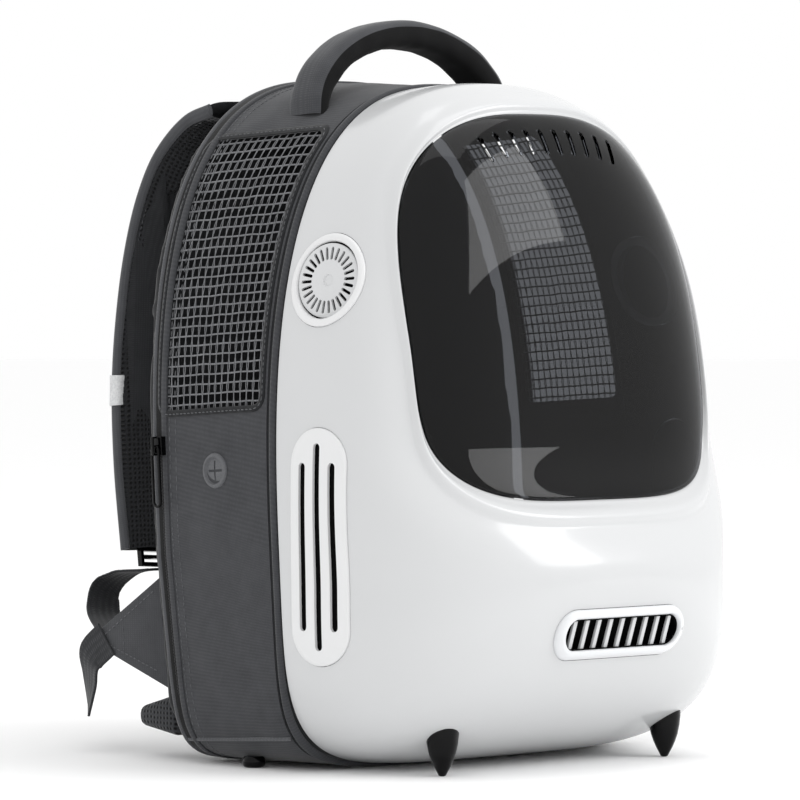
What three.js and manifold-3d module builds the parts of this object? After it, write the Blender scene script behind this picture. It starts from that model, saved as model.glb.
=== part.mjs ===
// A pet carrier backpack with a hard front shell and a clear bubble window, in millimetres, +Z up.
// The front faces -Y, and left is the -X side. The body is built upright, with the front seam at
// y = 0, and then leans back as a whole on its feet and studs.

import * as THREE from 'three';
import { mergeVertices } from 'three/addons/utils/BufferGeometryUtils.js';
import Module from 'manifold-3d';

const wasm = await Module();
wasm.setup();

// Space between pieces that sit against each other
const fit = 0.3;

// Whole body
const leanDegrees = 3.6;
const baseClearance = 1.2;

// Outline of the front seam and of the rear edge, with the powers of their superellipses
const frontHalfWidth = 161;
const frontMiddle = 138.5;
const frontTop = 431;
const frontTopPower = 2.54;
const frontBottomPower = 4.9;
const rearHalfWidth = 163;
const rearMiddle = 170;
const rearTop = 443.5;
const rearTopPower = 2.67;
const rearBottomPower = 10;

// Fabric body, from the front seam to the back, whose lower rear edge tucks forward
const bindingWidth = 8.5;
const bindingRise = 1.2;
const bandDepth = 110;
const bandWall = 2;
const rearTuck = 11;
const baseSeamHeight = 21.5;
const pipingRadius = 2;
const backPanelSide = 9;
const backPanelPad = 8;

// Front shell. It is deep and round below, and shallower and squarer in the zone of the window.
const shellDepth = 143;
const sideFullness = 2.53;
const lowerFullness = 2.32;
const zoneDepth = 106;
const zoneFullness = 4;
const zoneBottom = 110;
const zoneTop = 205;
const shellWall = 3;

// Window opening, its raised rim and the dome in it
const windowHalfWidth = 126;
const windowMiddle = 265.5;
const windowTop = 407;
const windowBottom = 162;
const windowTopPower = 2.75;
const windowBottomPower = 3.95;
const rimWidth = 18;
const rimRise = 4;
const domeBulge = 6;
const domeFullness = 3;
const domeWall = 2;
const domeSlotCount = 10;
const domeSlotPitch = 12.1;
const domeSlotWidth = 3.6;
const domeSlotLength = 17;
const domeSlotInset = 19;
const domeSlotFan = 0.5;

// Round vents on the cheeks of the shell
const roundVentDepth = 35;
const roundVentHeight = 305;
const roundVentRadius = 30;
const roundVentRing = 5.5;
const roundVentTurn = 81;
const roundVentTilt = 10;
const roundVentRise = 1.4;
const grilleSink = 4.5;
const grilleWall = 2;
const grilleSlots = 12;
const grilleHubRadius = 8;
const grilleSlotWidth = 2;

// Tall side vents
const sideVentDepth = 35;
const sideVentHeight = 140;
const sideVentWidth = 46;
const sideVentLength = 147;
const sideVentTurn = 2.7;
const sideVentRise = 1.4;
const sideSlotWidth = 4.8;
const sideSlotPitch = 12.5;
const sideSlotLengths = [104, 128, 104];

// Oblong vent below the window
const frontVentHeight = 79;
const frontVentWidth = 111;
const frontVentTall = 31;
const frontVentRing = 6.5;
const frontVentRise = 2.4;
const louvreCount = 9;
const louvrePitch = 10.4;
const louvreWidth = 2.6;
const louvreDepth = 5;
const louvreFrame = 1.5;

// Feet under the shell and studs under the base
const footSpread = 98;
const footSetback = 72;
const footRadius = 10.5;
const footLength = 34;
const studSpread = 144;
const studSetback = 52;
const studRadius = 7;
const studLength = 24;

// Netting in the sides
const meshFront = 14;
const meshRear = 106;
const meshBottom = 229;
const meshTop = 404;
const meshCorner = 5;
const meshWall = 1;
const meshColumns = 2;
const meshRows = 17;
const meshStrand = 2.2;

// Carry handle
const handleSetback = 45;
const handleHalfSpan = 80;
const handleRootHeight = 414.5;
const handleTop = 478;
const handleWidth = 30;
const handleThickness = 18;

// Shoulder straps
const strapWidth = 58;
const strapThickness = 13;
const strapTopOffset = 66;
const strapBottomOffset = 84;
const strapTopHeight = 425;
const strapBottomHeight = 143;
const strapReach = 88;
const reflectiveHeight = 248;
const reflectiveLength = 20;
const reflectiveWall = 0.8;

// Webbing, its adjuster and its anchor
const webbingWidth = 25;
const webbingThickness = 1.6;
const loopReach = 52;
const tailLength = 46;
const tailReach = 16;
const tailSway = 4;
const anchorOffset = 150;
const anchorReach = 60;
const anchorTop = 129;
const anchorTip = 86;
const anchorTipHeight = 10;
const anchorBottom = 52;
const anchorThickness = 3;
const adjusterWidth = 31;
const adjusterHeight = 12;
const adjusterThickness = 4;
const adjusterBar = 2.4;

// Waist tabs on the lower back
const waistTabInner = 112;
const waistTabOuter = 146;
const waistTabBottom = 22;
const waistTabTop = 50;
const waistTabReach = 30;
const waistTabTaper = 8;

// Zip on the left side
const zipSetback = 105.5;
const zipTop = 214;
const zipWidth = 5;
const zipHeight = 1;
const sliderWidth = 8.6;
const sliderLength = 12;
const sliderHeight = 3;
const bridgeWidth = 2.4;
const bridgeWall = 1.2;
const pullBar = 1.6;
const pullWidth = 8;
const pullLength = 40;

// Cable port on the left side
const portSetback = 55;
const portHeight = 190.5;
const portRadius = 10.5;
const portThickness = 2;
const portSlit = 1;

// Fineness of the round shapes
const aroundCount = 36;
const smallSides = 12;

const lean = THREE.MathUtils.degToRad(leanDegrees);
const { lerp, smoothstep } = THREE.MathUtils;

// Height of the level base in the leaning body, at a distance behind the front seam
function baseHeightAt(depth) {
  return (baseClearance + depth * Math.sin(lean)) / Math.cos(lean);
}

// Outline of the body at a distance behind the front seam. Its lower corners get square soon.
function outlineAt(depth) {
  const share = depth / bandDepth;
  return {
    halfWidth: lerp(frontHalfWidth, rearHalfWidth, share),
    middle: lerp(frontMiddle, rearMiddle, share),
    top: lerp(frontTop, rearTop, share),
    bottom: baseHeightAt(depth),
    topPower: lerp(frontTopPower, rearTopPower, share),
    bottomPower: lerp(frontBottomPower, rearBottomPower, Math.sqrt(Math.max(0, share))),
  };
}

const seamOutline = outlineAt(0);
const windowOutline = {
  halfWidth: windowHalfWidth,
  middle: windowMiddle,
  top: windowTop,
  bottom: windowBottom,
  topPower: windowTopPower,
  bottomPower: windowBottomPower,
};

// One point of an outline, at a turn from its +X side, with the outline grown by a margin
function outlinePoint(outline, turn, grow = 0) {
  const across = Math.cos(turn);
  const up = Math.sin(turn);
  const power = up < 0 ? outline.bottomPower : outline.topPower;
  const height = up < 0 ? outline.middle - outline.bottom : outline.top - outline.middle;
  const x = Math.sign(across) * (outline.halfWidth + grow) * Math.abs(across) ** (2 / power);
  const z = outline.middle + Math.sign(up) * (height + grow) * Math.abs(up) ** (2 / power);
  return { x, z };
}

// How far out a point lies in an outline: 0 in its middle, 1 on its edge
function outlineShare(outline, x, z, grow = 0) {
  const below = z < outline.middle;
  const power = below ? outline.bottomPower : outline.topPower;
  const height = below ? outline.middle - outline.bottom : outline.top - outline.middle;
  const across = Math.abs(x) / (outline.halfWidth + grow);
  const up = Math.abs(z - outline.middle) / (height + grow);
  return (across ** power + up ** power) ** (1 / power);
}

// The shell's outer surface without its rim, as a y for each x and z
function shellSurface(x, z, grow = 0) {
  const { middle, bottom, bottomPower } = seamOutline;
  const share = Math.min(1, outlineShare(seamOutline, x, z, grow));
  const down = Math.max(0, middle - z) / (middle - bottom + grow) / Math.max(share, 1e-6);
  const fullness = lerp(sideFullness, lowerFullness, Math.min(1, down) ** (bottomPower / 2));
  const inZone = smoothstep(z, zoneBottom, zoneTop);
  const power = lerp(fullness, zoneFullness, inZone);
  const depth = lerp(shellDepth, zoneDepth, inZone) + grow;
  return -depth * (1 - share ** power) ** (1 / power);
}

// A closed solid through rings of points. Rings that don't return to the first have capped ends.
function loft(rings, returns = false) {
  const positions = [];
  const indices = [];
  const count = rings[0].length;
  for (const ring of rings) {
    for (const point of ring) positions.push(point.x, point.y, point.z);
  }
  const bands = returns ? rings.length : rings.length - 1;
  for (let band = 0; band < bands; band += 1) {
    const here = band * count;
    const there = ((band + 1) % rings.length) * count;
    for (let step = 0; step < count; step += 1) {
      const next = (step + 1) % count;
      indices.push(here + step, here + next, there + next);
      indices.push(here + step, there + next, there + step);
    }
  }
  if (!returns) {
    cap(rings[0], 0, true);
    cap(rings[rings.length - 1], (rings.length - 1) * count, false);
  }
  const geometry = new THREE.BufferGeometry();
  geometry.setAttribute('position', new THREE.Float32BufferAttribute(positions, 3));
  geometry.setIndex(indices);
  return facingOut(geometry);

  function cap(ring, first, startSide) {
    const middle = new THREE.Vector3();
    for (const point of ring) middle.add(point);
    middle.divideScalar(count);
    const centre = positions.length / 3;
    positions.push(middle.x, middle.y, middle.z);
    for (let step = 0; step < count; step += 1) {
      const next = (step + 1) % count;
      if (startSide) indices.push(first + next, first + step, centre);
      else indices.push(first + step, first + next, centre);
    }
  }
}

// Turns a closed geometry's triangles over where they face inwards
function facingOut(geometry) {
  const place = geometry.attributes.position;
  const corners = [new THREE.Vector3(), new THREE.Vector3(), new THREE.Vector3()];
  const { index } = geometry;
  let volume = 0;
  for (let first = 0; first < index.count; first += 3) {
    corners.forEach((corner, step) => corner.fromBufferAttribute(place, index.getX(first + step)));
    volume += corners[0].dot(corners[1].cross(corners[2]));
  }
  if (volume < 0) {
    for (let first = 0; first < index.count; first += 3) {
      const kept = index.getX(first + 1);
      index.setX(first + 1, index.getX(first + 2));
      index.setX(first + 2, kept);
    }
  }
  return geometry;
}

// A solid that can be cut and joined, from a closed geometry
function solid(geometry) {
  const bare = geometry.clone();
  bare.deleteAttribute('normal');
  bare.deleteAttribute('uv');
  const merged = mergeVertices(bare, 1e-4);
  const triangles = [];
  const corners = merged.index.array;
  for (let first = 0; first < corners.length; first += 3) {
    const [a, b, c] = [corners[first], corners[first + 1], corners[first + 2]];
    if (a !== b && b !== c && c !== a) triangles.push(a, b, c);
  }
  return new wasm.Manifold(new wasm.Mesh({
    numProp: 3,
    vertProperties: new Float32Array(merged.attributes.position.array),
    triVerts: new Uint32Array(triangles),
  }));
}

function geometryOf(shape) {
  const mesh = shape.getMesh();
  const geometry = new THREE.BufferGeometry();
  geometry.setAttribute('position', new THREE.Float32BufferAttribute(mesh.vertProperties, 3));
  geometry.setIndex(Array.from(mesh.triVerts));
  geometry.computeVertexNormals();
  return geometry;
}

// Frames for shapes drawn flat: seen from the left side, and seen from the front
const xAxis = new THREE.Vector3(1, 0, 0);
const yAxis = new THREE.Vector3(0, 1, 0);
const zAxis = new THREE.Vector3(0, 0, 1);
const acrossBody = new THREE.Matrix4().makeBasis(yAxis, zAxis, xAxis);
const throughFront = new THREE.Matrix4().makeBasis(xAxis, zAxis, yAxis.clone().negate());

// A straight prism of a flat shape. Its drawing plane and its length direction are the frame's.
function prism(shape, from, to, frame, curveSegments = 6) {
  const geometry = new THREE.ExtrudeGeometry(shape, {
    depth: to - from,
    bevelEnabled: false,
    curveSegments,
  });
  geometry.translate(0, 0, from);
  geometry.applyMatrix4(frame);
  return solid(geometry);
}

// A rectangle with rounded corners, drawn around a centre and turned about it
function roundedRectangle(centreX, centreY, width, height, radius, turn = 0, fineness = 2) {
  const corner = Math.min(radius, width / 2, height / 2);
  const path = new THREE.Path();
  const right = width / 2 - corner;
  const top = height / 2 - corner;
  path.absarc(right, top, corner, 0, Math.PI / 2);
  path.absarc(-right, top, corner, Math.PI / 2, Math.PI);
  path.absarc(-right, -top, corner, Math.PI, Math.PI * 1.5);
  path.absarc(right, -top, corner, Math.PI * 1.5, Math.PI * 2);
  const centre = new THREE.Vector2();
  const shift = new THREE.Vector2(centreX, centreY);
  const points = path.getPoints(fineness).map((point) => point.rotateAround(centre, turn).add(shift));
  if (points[0].distanceTo(points[points.length - 1]) < 1e-6) points.pop();
  return new THREE.Shape(points);
}

function box(x, y, z, width, depth, height) {
  const geometry = new THREE.BoxGeometry(width, depth, height);
  geometry.translate(x, y, z);
  return solid(geometry);
}

// A turned shape about a line through a centre, with the profile's height along the line
function turned(profile, centre, direction, sides = smallSides) {
  const points = profile.map(([radius, height]) => new THREE.Vector2(radius, height));
  const geometry = new THREE.LatheGeometry(points, sides);
  geometry.applyQuaternion(new THREE.Quaternion().setFromUnitVectors(yAxis, direction));
  geometry.translate(centre.x, centre.y, centre.z);
  return solid(facingOut(mergeVertices(geometry.deleteAttribute('normal').deleteAttribute('uv'), 1e-4)));
}

// The same geometry on the other side of the body
function mirrored(geometry) {
  const copy = geometry.clone();
  copy.scale(-1, 1, 1);
  return facingOut(copy);
}

function around(placePoint) {
  return Array.from({ length: aroundCount }, (_, step) => placePoint(2 * Math.PI * step / aroundCount));
}

// A ring of the band's outline at a distance behind the front seam, tucked forward below its middle
function bandRing(depth, grow = 0) {
  const outline = outlineAt(depth);
  return around((turn) => {
    const { x, z } = outlinePoint(outline, turn, grow);
    const low = Math.max(0, 1 - z / frontMiddle);
    return new THREE.Vector3(x, depth - rearTuck * low * depth / bandDepth, z);
  });
}

// Steps from the window's edge over the rim, as shares of its width, and on to the seam.
// The inside is drawn with fewer of them.
const outerSteps = { rim: [0, 0.3, 0.65], wall: [0, 0.1, 0.22, 0.36, 0.52, 0.7, 0.86, 1] };
const innerSteps = { rim: [0], wall: [0, 0.22, 0.52, 0.86, 1] };

function shellPoint(turn, onRim, onWall, grow) {
  const edge = outlinePoint(windowOutline, turn);
  const seam = outlinePoint(seamOutline, turn, grow);
  const length = Math.hypot(seam.x - edge.x, seam.z - edge.z);
  const rimShare = Math.min(0.6, rimWidth / length);
  const eased = 1 - (1 - onWall) ** 2;
  const share = onWall > 0 ? lerp(rimShare, 1, eased) : rimShare * onRim;
  const x = lerp(edge.x, seam.x, share);
  const z = lerp(edge.z, seam.z, share);
  const rise = onWall > 0 ? 0 : rimRise * Math.sin(Math.PI * onRim) ** 2;
  return new THREE.Vector3(x, shellSurface(x, z, grow) - rise, z);
}

function shellRings(grow, steps = outerSteps) {
  const overRim = steps.rim.map((step) => around((turn) => shellPoint(turn, step, 0, grow)));
  const overWall = steps.wall.map((step) => around((turn) => shellPoint(turn, 1, step, grow)));
  return [...overRim, ...overWall];
}

// The shell's outside as a full solid, with its window filled, to seat and cut other pieces
function shellBlank(grow) {
  return solid(loft(shellRings(grow)));
}

// Where the band starts behind its binding, and the depths that its surface is drawn through
const bandStart = bindingWidth + 2 * fit;
const bandDepths = [bandStart, bandDepth * 0.4, bandDepth];

function bandBlank(grow, depths = bandDepths) {
  return solid(loft(depths.map((depth) => bandRing(depth, grow))));
}

// A layer of the shell that follows its surface, between two heights over it
function shellLayer(low, high) {
  return shellBlank(high).subtract(shellBlank(low));
}

// Round vent: where it sits on the left cheek and which way it faces
const roundVentCheek = outlinePointAtHeight(roundVentHeight, roundVentDepth);
const turnOut = THREE.MathUtils.degToRad(roundVentTurn);
const tiltUp = THREE.MathUtils.degToRad(roundVentTilt);
const roundVentFacing = new THREE.Vector3(
  -Math.sin(turnOut) * Math.cos(tiltUp),
  -Math.cos(turnOut) * Math.cos(tiltUp),
  Math.sin(tiltUp),
);

// The x on the shell's left side at a height and a distance in front of the seam
function outlinePointAtHeight(height, forward, grow = 0) {
  let inner = 0;
  let outer = frontHalfWidth;
  for (let step = 0; step < 40; step += 1) {
    const middle = (inner + outer) / 2;
    if (shellSurface(middle, height, grow) < -forward) inner = middle;
    else outer = middle;
  }
  return new THREE.Vector3(-inner, -forward, height);
}

function roundVentCylinder(radius) {
  const profile = [[0, -20], [radius, -20], [radius, 12], [0, 12]];
  return turned(profile, roundVentCheek, roundVentFacing, grilleSlots);
}

function makeRoundVentBezel() {
  const ring = roundVentCylinder(roundVentRadius).subtract(roundVentCylinder(roundVentRadius - roundVentRing));
  return ring.intersect(shellLayer(-grilleSink - grilleWall - fit * 4, roundVentRise));
}

function makeRoundVentGrille() {
  const outer = roundVentRadius - roundVentRing - fit;
  const top = -grilleSink;
  const profile = [
    [0, top - grilleWall],
    [outer, top - grilleWall],
    [outer, top],
    [grilleHubRadius + 1.5, top],
    [grilleHubRadius, top + 1.2],
    [0, top + 1.6],
  ];
  let grille = turned(profile, roundVentCheek, roundVentFacing, grilleSlots);
  const slotInner = grilleHubRadius + 3;
  const slotOuter = outer - 2.5;
  const toFacing = new THREE.Quaternion().setFromUnitVectors(yAxis, roundVentFacing);
  for (let slot = 0; slot < grilleSlots; slot += 1) {
    const geometry = new THREE.BoxGeometry(slotOuter - slotInner, grilleWall * 4, grilleSlotWidth);
    geometry.translate((slotOuter + slotInner) / 2, top, 0);
    geometry.rotateY(2 * Math.PI * (slot + 0.5) / grilleSlots);
    geometry.applyQuaternion(toFacing);
    geometry.translate(roundVentCheek.x, roundVentCheek.y, roundVentCheek.z);
    grille = grille.subtract(solid(geometry));
  }
  return grille;
}

const sideVentLean = THREE.MathUtils.degToRad(sideVentTurn);
const sideVentReach = frontHalfWidth + 10;

// Side vent: a prism through the left wall of the shell
function sideVentPrism(grow) {
  const width = sideVentWidth + 2 * grow;
  const length = sideVentLength + 2 * grow;
  const shape = roundedRectangle(-sideVentDepth, sideVentHeight, width, length, width / 2, sideVentLean, 3);
  return prism(shape, -sideVentReach, -sideVentReach / 2, acrossBody);
}

function makeSideVent() {
  let plate = sideVentPrism(0).intersect(shellLayer(-shellWall, sideVentRise));
  sideSlotLengths.forEach((length, column) => {
    const offset = (column - (sideSlotLengths.length - 1) / 2) * sideSlotPitch;
    const y = offset * Math.cos(sideVentLean) - sideVentDepth;
    const z = sideVentHeight + offset * Math.sin(sideVentLean);
    const slot = roundedRectangle(y, z, sideSlotWidth, length, sideSlotWidth, sideVentLean, 1);
    plate = plate.subtract(prism(slot, -sideVentReach, -sideVentReach / 2, acrossBody));
  });
  return plate;
}

// Front vent: a prism through the front of the shell
function frontVentPrism(grow) {
  const tall = frontVentTall + 2 * grow;
  const shape = roundedRectangle(0, frontVentHeight, frontVentWidth + 2 * grow, tall, tall / 2, 0, 3);
  return prism(shape, shellDepth / 2, shellDepth + 40, throughFront);
}

const frontVentSink = louvreDepth + fit;

function makeFrontVentBezel() {
  const ring = frontVentPrism(0).subtract(frontVentPrism(-frontVentRing));
  return ring.intersect(shellLayer(-frontVentSink, frontVentRise));
}

function makeFrontVentLouvres() {
  const inside = frontVentPrism(-frontVentRing - fit);
  let louvres = inside.subtract(frontVentPrism(-frontVentRing - fit - louvreFrame));
  for (let blade = 0; blade < louvreCount; blade += 1) {
    const offset = (blade - (louvreCount - 1) / 2) * louvrePitch;
    const plate = box(offset, -shellDepth, frontVentHeight, louvreWidth, shellDepth, frontVentTall);
    louvres = louvres.add(plate.intersect(inside));
  }
  return louvres.intersect(shellLayer(-louvreDepth, 0.5));
}

function makeFrontVentTray() {
  const low = -frontVentSink - 2;
  return frontVentPrism(-fit).intersect(shellLayer(low, -frontVentSink - fit));
}

function makeFrontShell() {
  const outer = shellRings(0);
  const inner = shellRings(-shellWall, innerSteps).reverse();
  let shell = solid(loft([...outer, ...inner], true));
  const vents = [
    geometryOf(roundVentCylinder(roundVentRadius + fit)),
    geometryOf(sideVentPrism(fit)),
  ];
  for (const vent of vents) {
    shell = shell.subtract(solid(vent)).subtract(solid(mirrored(vent)));
  }
  return shell.subtract(frontVentPrism(fit));
}

// Dome: the shell's own surface inside the window, swelling out from the window's edge
const domeOuterSteps = [0, 0.04, 0.14, 0.34, 0.66];
const domeInnerSteps = [0, 0.06, 0.24, 0.6];

function domeRings(inset, steps) {
  return steps.map((step) => around((turn) => {
    const edge = outlinePoint(windowOutline, turn, -fit - inset / 2);
    const x = lerp(edge.x, 0, step);
    const z = lerp(edge.z, windowMiddle, step);
    const swell = (1 - (1 - step) ** domeFullness) ** (1 / domeFullness);
    return new THREE.Vector3(x, shellSurface(x, z) - domeBulge * swell + inset, z);
  }));
}

function makeDomeWindow() {
  let dome = solid(loft([...domeRings(0, domeOuterSteps).reverse(), ...domeRings(domeWall, domeInnerSteps)]));
  for (let slot = 0; slot < domeSlotCount; slot += 1) {
    const x = (slot - (domeSlotCount - 1) / 2) * domeSlotPitch;
    const across = (Math.abs(x) / windowHalfWidth) ** windowTopPower;
    const edge = windowMiddle + (windowTop - windowMiddle) * (1 - across) ** (1 / windowTopPower);
    const turn = -x / windowHalfWidth * domeSlotFan;
    const shape = roundedRectangle(x, edge - domeSlotInset, domeSlotWidth, domeSlotLength, domeSlotWidth, turn, 1);
    dome = dome.subtract(prism(shape, 0, shellDepth + domeBulge * 2, throughFront));
  }
  return dome;
}

// A foot or stud stands on the ground under the leaning body: a turned shape along the world's up
const groundUp = new THREE.Vector3(0, -Math.sin(lean), Math.cos(lean));

function onGround(x, setback) {
  return new THREE.Vector3(x, setback * Math.cos(lean), setback * Math.sin(lean));
}

function makeFrontFoot() {
  const profile = [
    [0, 0],
    [footRadius * 0.22, 0],
    [footRadius * 0.5, footLength * 0.16],
    [footRadius * 0.82, footLength * 0.42],
    [footRadius, footLength * 0.78],
    [footRadius, footLength],
    [0, footLength],
  ];
  return turned(profile, onGround(-footSpread, -footSetback), groundUp).subtract(shellBlank(2 * fit));
}

function makeRearStud() {
  const profile = [
    [0, 0],
    [studRadius * 0.7, 0],
    [studRadius, studRadius * 0.2],
    [studRadius, studLength],
    [0, studLength],
  ];
  return turned(profile, onGround(-studSpread, studSetback), groundUp).subtract(bandBlank(fit));
}

// Tape around the seam between shell and band
function makeFrontBinding() {
  const section = [
    { across: 0, over: 0.2 },
    { across: 0.5, over: 1 },
    { across: 1, over: 0.2 },
    { across: 1, over: -bandWall / bindingRise },
    { across: 0, over: -bandWall / bindingRise },
  ];
  const rings = section.map((corner) => bandRing(fit + corner.across * bindingWidth, corner.over * bindingRise));
  return solid(loft(rings, true));
}

function makeBand() {
  const outer = bandDepths.map((depth) => bandRing(depth));
  const inner = bandDepths.map((depth) => bandRing(depth, -bandWall)).reverse();
  return solid(loft([...outer, ...inner], true));
}

function meshPrism(inset) {
  const width = meshRear - meshFront - 2 * inset;
  const height = meshTop - meshBottom - 2 * inset;
  const shape = roundedRectangle((meshFront + meshRear) / 2, (meshTop + meshBottom) / 2, width, height, meshCorner);
  return prism(shape, -rearHalfWidth * 2, -rearHalfWidth / 4, acrossBody);
}

function belowBaseSeam(top) {
  const height = baseSeamHeight * 3;
  return box(0, bandDepth / 2, top - height / 2, rearHalfWidth * 3, bandDepth * 2, height);
}

function makeBagBand() {
  const opening = geometryOf(meshPrism(0));
  const band = makeBand().subtract(belowBaseSeam(baseSeamHeight + fit / 2));
  return band.subtract(solid(opening)).subtract(solid(mirrored(opening)));
}

function makeBasePanel() {
  return makeBand().intersect(belowBaseSeam(baseSeamHeight - fit / 2));
}

function makeMeshWindow() {
  const ends = [bandStart, bandDepth];
  const middle = -bandWall / 2;
  const sheet = bandBlank(middle + meshWall / 2, ends).subtract(bandBlank(middle - meshWall / 2, ends));
  let netting = meshPrism(fit).intersect(sheet);
  const border = meshStrand * 2;
  const columnPitch = (meshRear - meshFront - 2 * border) / meshColumns;
  const rowPitch = (meshTop - meshBottom - 2 * border) / meshRows;
  for (let column = 0; column < meshColumns; column += 1) {
    for (let row = 0; row < meshRows; row += 1) {
      const y = meshFront + border + (column + 0.5) * columnPitch;
      const z = meshBottom + border + (row + 0.5) * rowPitch;
      const gap = box(-rearHalfWidth, y, z, rearHalfWidth * 1.5, columnPitch - meshStrand, rowPitch - meshStrand);
      netting = netting.subtract(gap);
    }
  }
  return netting;
}

const pipingCentre = bandDepth + pipingRadius + fit;

function makeRearPiping() {
  const sides = 4;
  const rings = Array.from({ length: sides }, (_, side) => {
    const turn = 2 * Math.PI * side / sides;
    return bandRing(pipingCentre + pipingRadius * Math.cos(turn), pipingRadius * Math.sin(turn) - 0.5);
  });
  return solid(loft(rings, true));
}

const backPanelFront = pipingCentre + pipingRadius + fit;
const backPanelRear = backPanelFront + backPanelSide + backPanelPad;

function backPanelBlank(grow) {
  const rings = [
    bandRing(backPanelFront, grow),
    bandRing(backPanelFront + backPanelSide, grow),
    bandRing(backPanelRear - backPanelPad * 0.4 + grow, -backPanelPad * 0.5 + grow),
    bandRing(backPanelRear + grow, -backPanelPad * 2 + grow),
  ];
  return solid(loft(rings));
}

// A long solid along a path, with its width along a given direction at each station
function strip(stations, width, thickness, rounded) {
  const corner = rounded ? 0.3 : 0;
  const section = rounded
    ? [[-1, -corner], [-0.8, -1], [0.8, -1], [1, -corner], [1, corner], [0.8, 1], [-0.8, 1], [-1, corner]]
    : [[-1, -1], [1, -1], [1, 1], [-1, 1]];
  const rings = stations.map((station, step) => {
    const before = stations[Math.max(0, step - 1)].place;
    const after = stations[Math.min(stations.length - 1, step + 1)].place;
    const along = after.clone().sub(before).normalize();
    const broad = station.broad.clone().addScaledVector(along, -station.broad.dot(along)).normalize();
    const normal = along.clone().cross(broad);
    return section.map(([u, v]) => station.place.clone()
      .addScaledVector(broad, u * width / 2)
      .addScaledVector(normal, v * thickness / 2));
  });
  return solid(loft(rings));
}

// Carry handle: half an ellipse standing across the top
function makeCarryHandle() {
  const rise = handleTop - handleThickness / 2 - handleRootHeight;
  const count = 17;
  const stations = Array.from({ length: count }, (_, step) => {
    const turn = Math.PI * step / (count - 1);
    const x = -handleHalfSpan * Math.cos(turn);
    return { place: new THREE.Vector3(x, handleSetback, handleRootHeight + rise * Math.sin(turn)), broad: yAxis };
  });
  return strip(stations, handleWidth, handleThickness, true).subtract(bandBlank(fit));
}

// Shoulder strap: how far down it is and how far it stands off the back, as shares
const strapCourse = [
  { down: 0, off: -0.06 },
  { down: 0.02, off: 0.22 },
  { down: 0.09, off: 0.53 },
  { down: 0.18, off: 0.72 },
  { down: 0.3, off: 0.86 },
  { down: 0.46, off: 0.96 },
  { down: 0.62, off: 1 },
  { down: 0.8, off: 0.97 },
  { down: 1, off: 0.88 },
];
const strapCurve = new THREE.CatmullRomCurve3(strapCourse.map(({ down, off }) => new THREE.Vector3(
  -lerp(strapTopOffset, strapBottomOffset, down),
  backPanelRear + off * strapReach,
  lerp(strapTopHeight, strapBottomHeight, down),
)));

function strapStations(from, to, count) {
  return Array.from({ length: count }, (_, step) => ({
    place: strapCurve.getPointAt(lerp(from, to, step / (count - 1))),
    broad: xAxis,
  }));
}

function makeShoulderStrap() {
  return strip(strapStations(0, 1, 15), strapWidth, strapThickness, true).subtract(backPanelBlank(fit));
}

// How far along the strap a height is reached
function strapShareAt(height) {
  let above = 0;
  let below = 1;
  for (let step = 0; step < 30; step += 1) {
    const middle = (above + below) / 2;
    if (strapCurve.getPointAt(middle).z > height) above = middle;
    else below = middle;
  }
  return above;
}

function makeReflectiveBand() {
  const from = strapShareAt(reflectiveHeight + reflectiveLength / 2);
  const to = strapShareAt(reflectiveHeight - reflectiveLength / 2);
  const outside = fit * 2 + 2 * reflectiveWall;
  const sleeve = strip(strapStations(from, to, 3), strapWidth + outside, strapThickness + outside, true);
  const reach = (to - from) / 2;
  const core = strapStations(from - reach, to + reach, 5);
  return sleeve.subtract(strip(core, strapWidth + 2 * fit, strapThickness + 2 * fit, true));
}

// Anchor: a stitched triangle behind the lower side
function makeStrapAnchor() {
  const seat = backPanelFront + backPanelSide / 2;
  const shape = new THREE.Shape([
    new THREE.Vector2(seat, anchorBottom),
    new THREE.Vector2(backPanelRear + anchorReach, anchorTip - anchorTipHeight / 2),
    new THREE.Vector2(backPanelRear + anchorReach, anchorTip + anchorTipHeight / 2),
    new THREE.Vector2(seat, anchorTop),
  ]);
  const from = -anchorOffset - anchorThickness / 2;
  return prism(shape, from, from + anchorThickness, acrossBody).subtract(backPanelBlank(fit));
}

// Adjuster: a frame with two slots under the strap's lower end
const strapEnd = strapCurve.getPointAt(1);
const strapEndWay = strapCurve.getTangentAt(1);

// A block in the adjuster's own frame, centred at a distance past the strap's end
function adjusterBlock(width, thickness, height, along) {
  const geometry = new THREE.BoxGeometry(width, thickness, height);
  geometry.applyQuaternion(new THREE.Quaternion().setFromUnitVectors(zAxis, strapEndWay.clone().negate()));
  const centre = strapEnd.clone().addScaledVector(strapEndWay, along);
  geometry.translate(centre.x, centre.y, centre.z);
  return solid(geometry);
}

const adjusterMiddle = fit + adjusterHeight / 2;

function makeStrapAdjuster() {
  const slotHeight = (adjusterHeight - 3 * adjusterBar) / 2;
  const slotWidth = adjusterWidth - 2 * adjusterBar;
  let frame = adjusterBlock(adjusterWidth, adjusterThickness, adjusterHeight, adjusterMiddle);
  for (const side of [-1, 1]) {
    const along = adjusterMiddle + side * (slotHeight + adjusterBar) / 2;
    frame = frame.subtract(adjusterBlock(slotWidth, adjusterThickness * 2, slotHeight, along));
  }
  return frame;
}

// A band of webbing through a list of places, which turns evenly from one broad direction to the next
function webbing(course, count) {
  const curve = new THREE.CatmullRomCurve3(course.map(({ at }) => new THREE.Vector3(...at)));
  const stations = Array.from({ length: count }, (_, step) => {
    const share = step / (count - 1);
    const leg = Math.min(course.length - 2, Math.floor(share * (course.length - 1)));
    const inLeg = share * (course.length - 1) - leg;
    const broad = new THREE.Vector3(...course[leg].broad);
    return { place: curve.getPoint(share), broad: broad.lerp(new THREE.Vector3(...course[leg + 1].broad), inLeg) };
  });
  return strip(stations, webbingWidth, webbingThickness, false);
}

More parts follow.
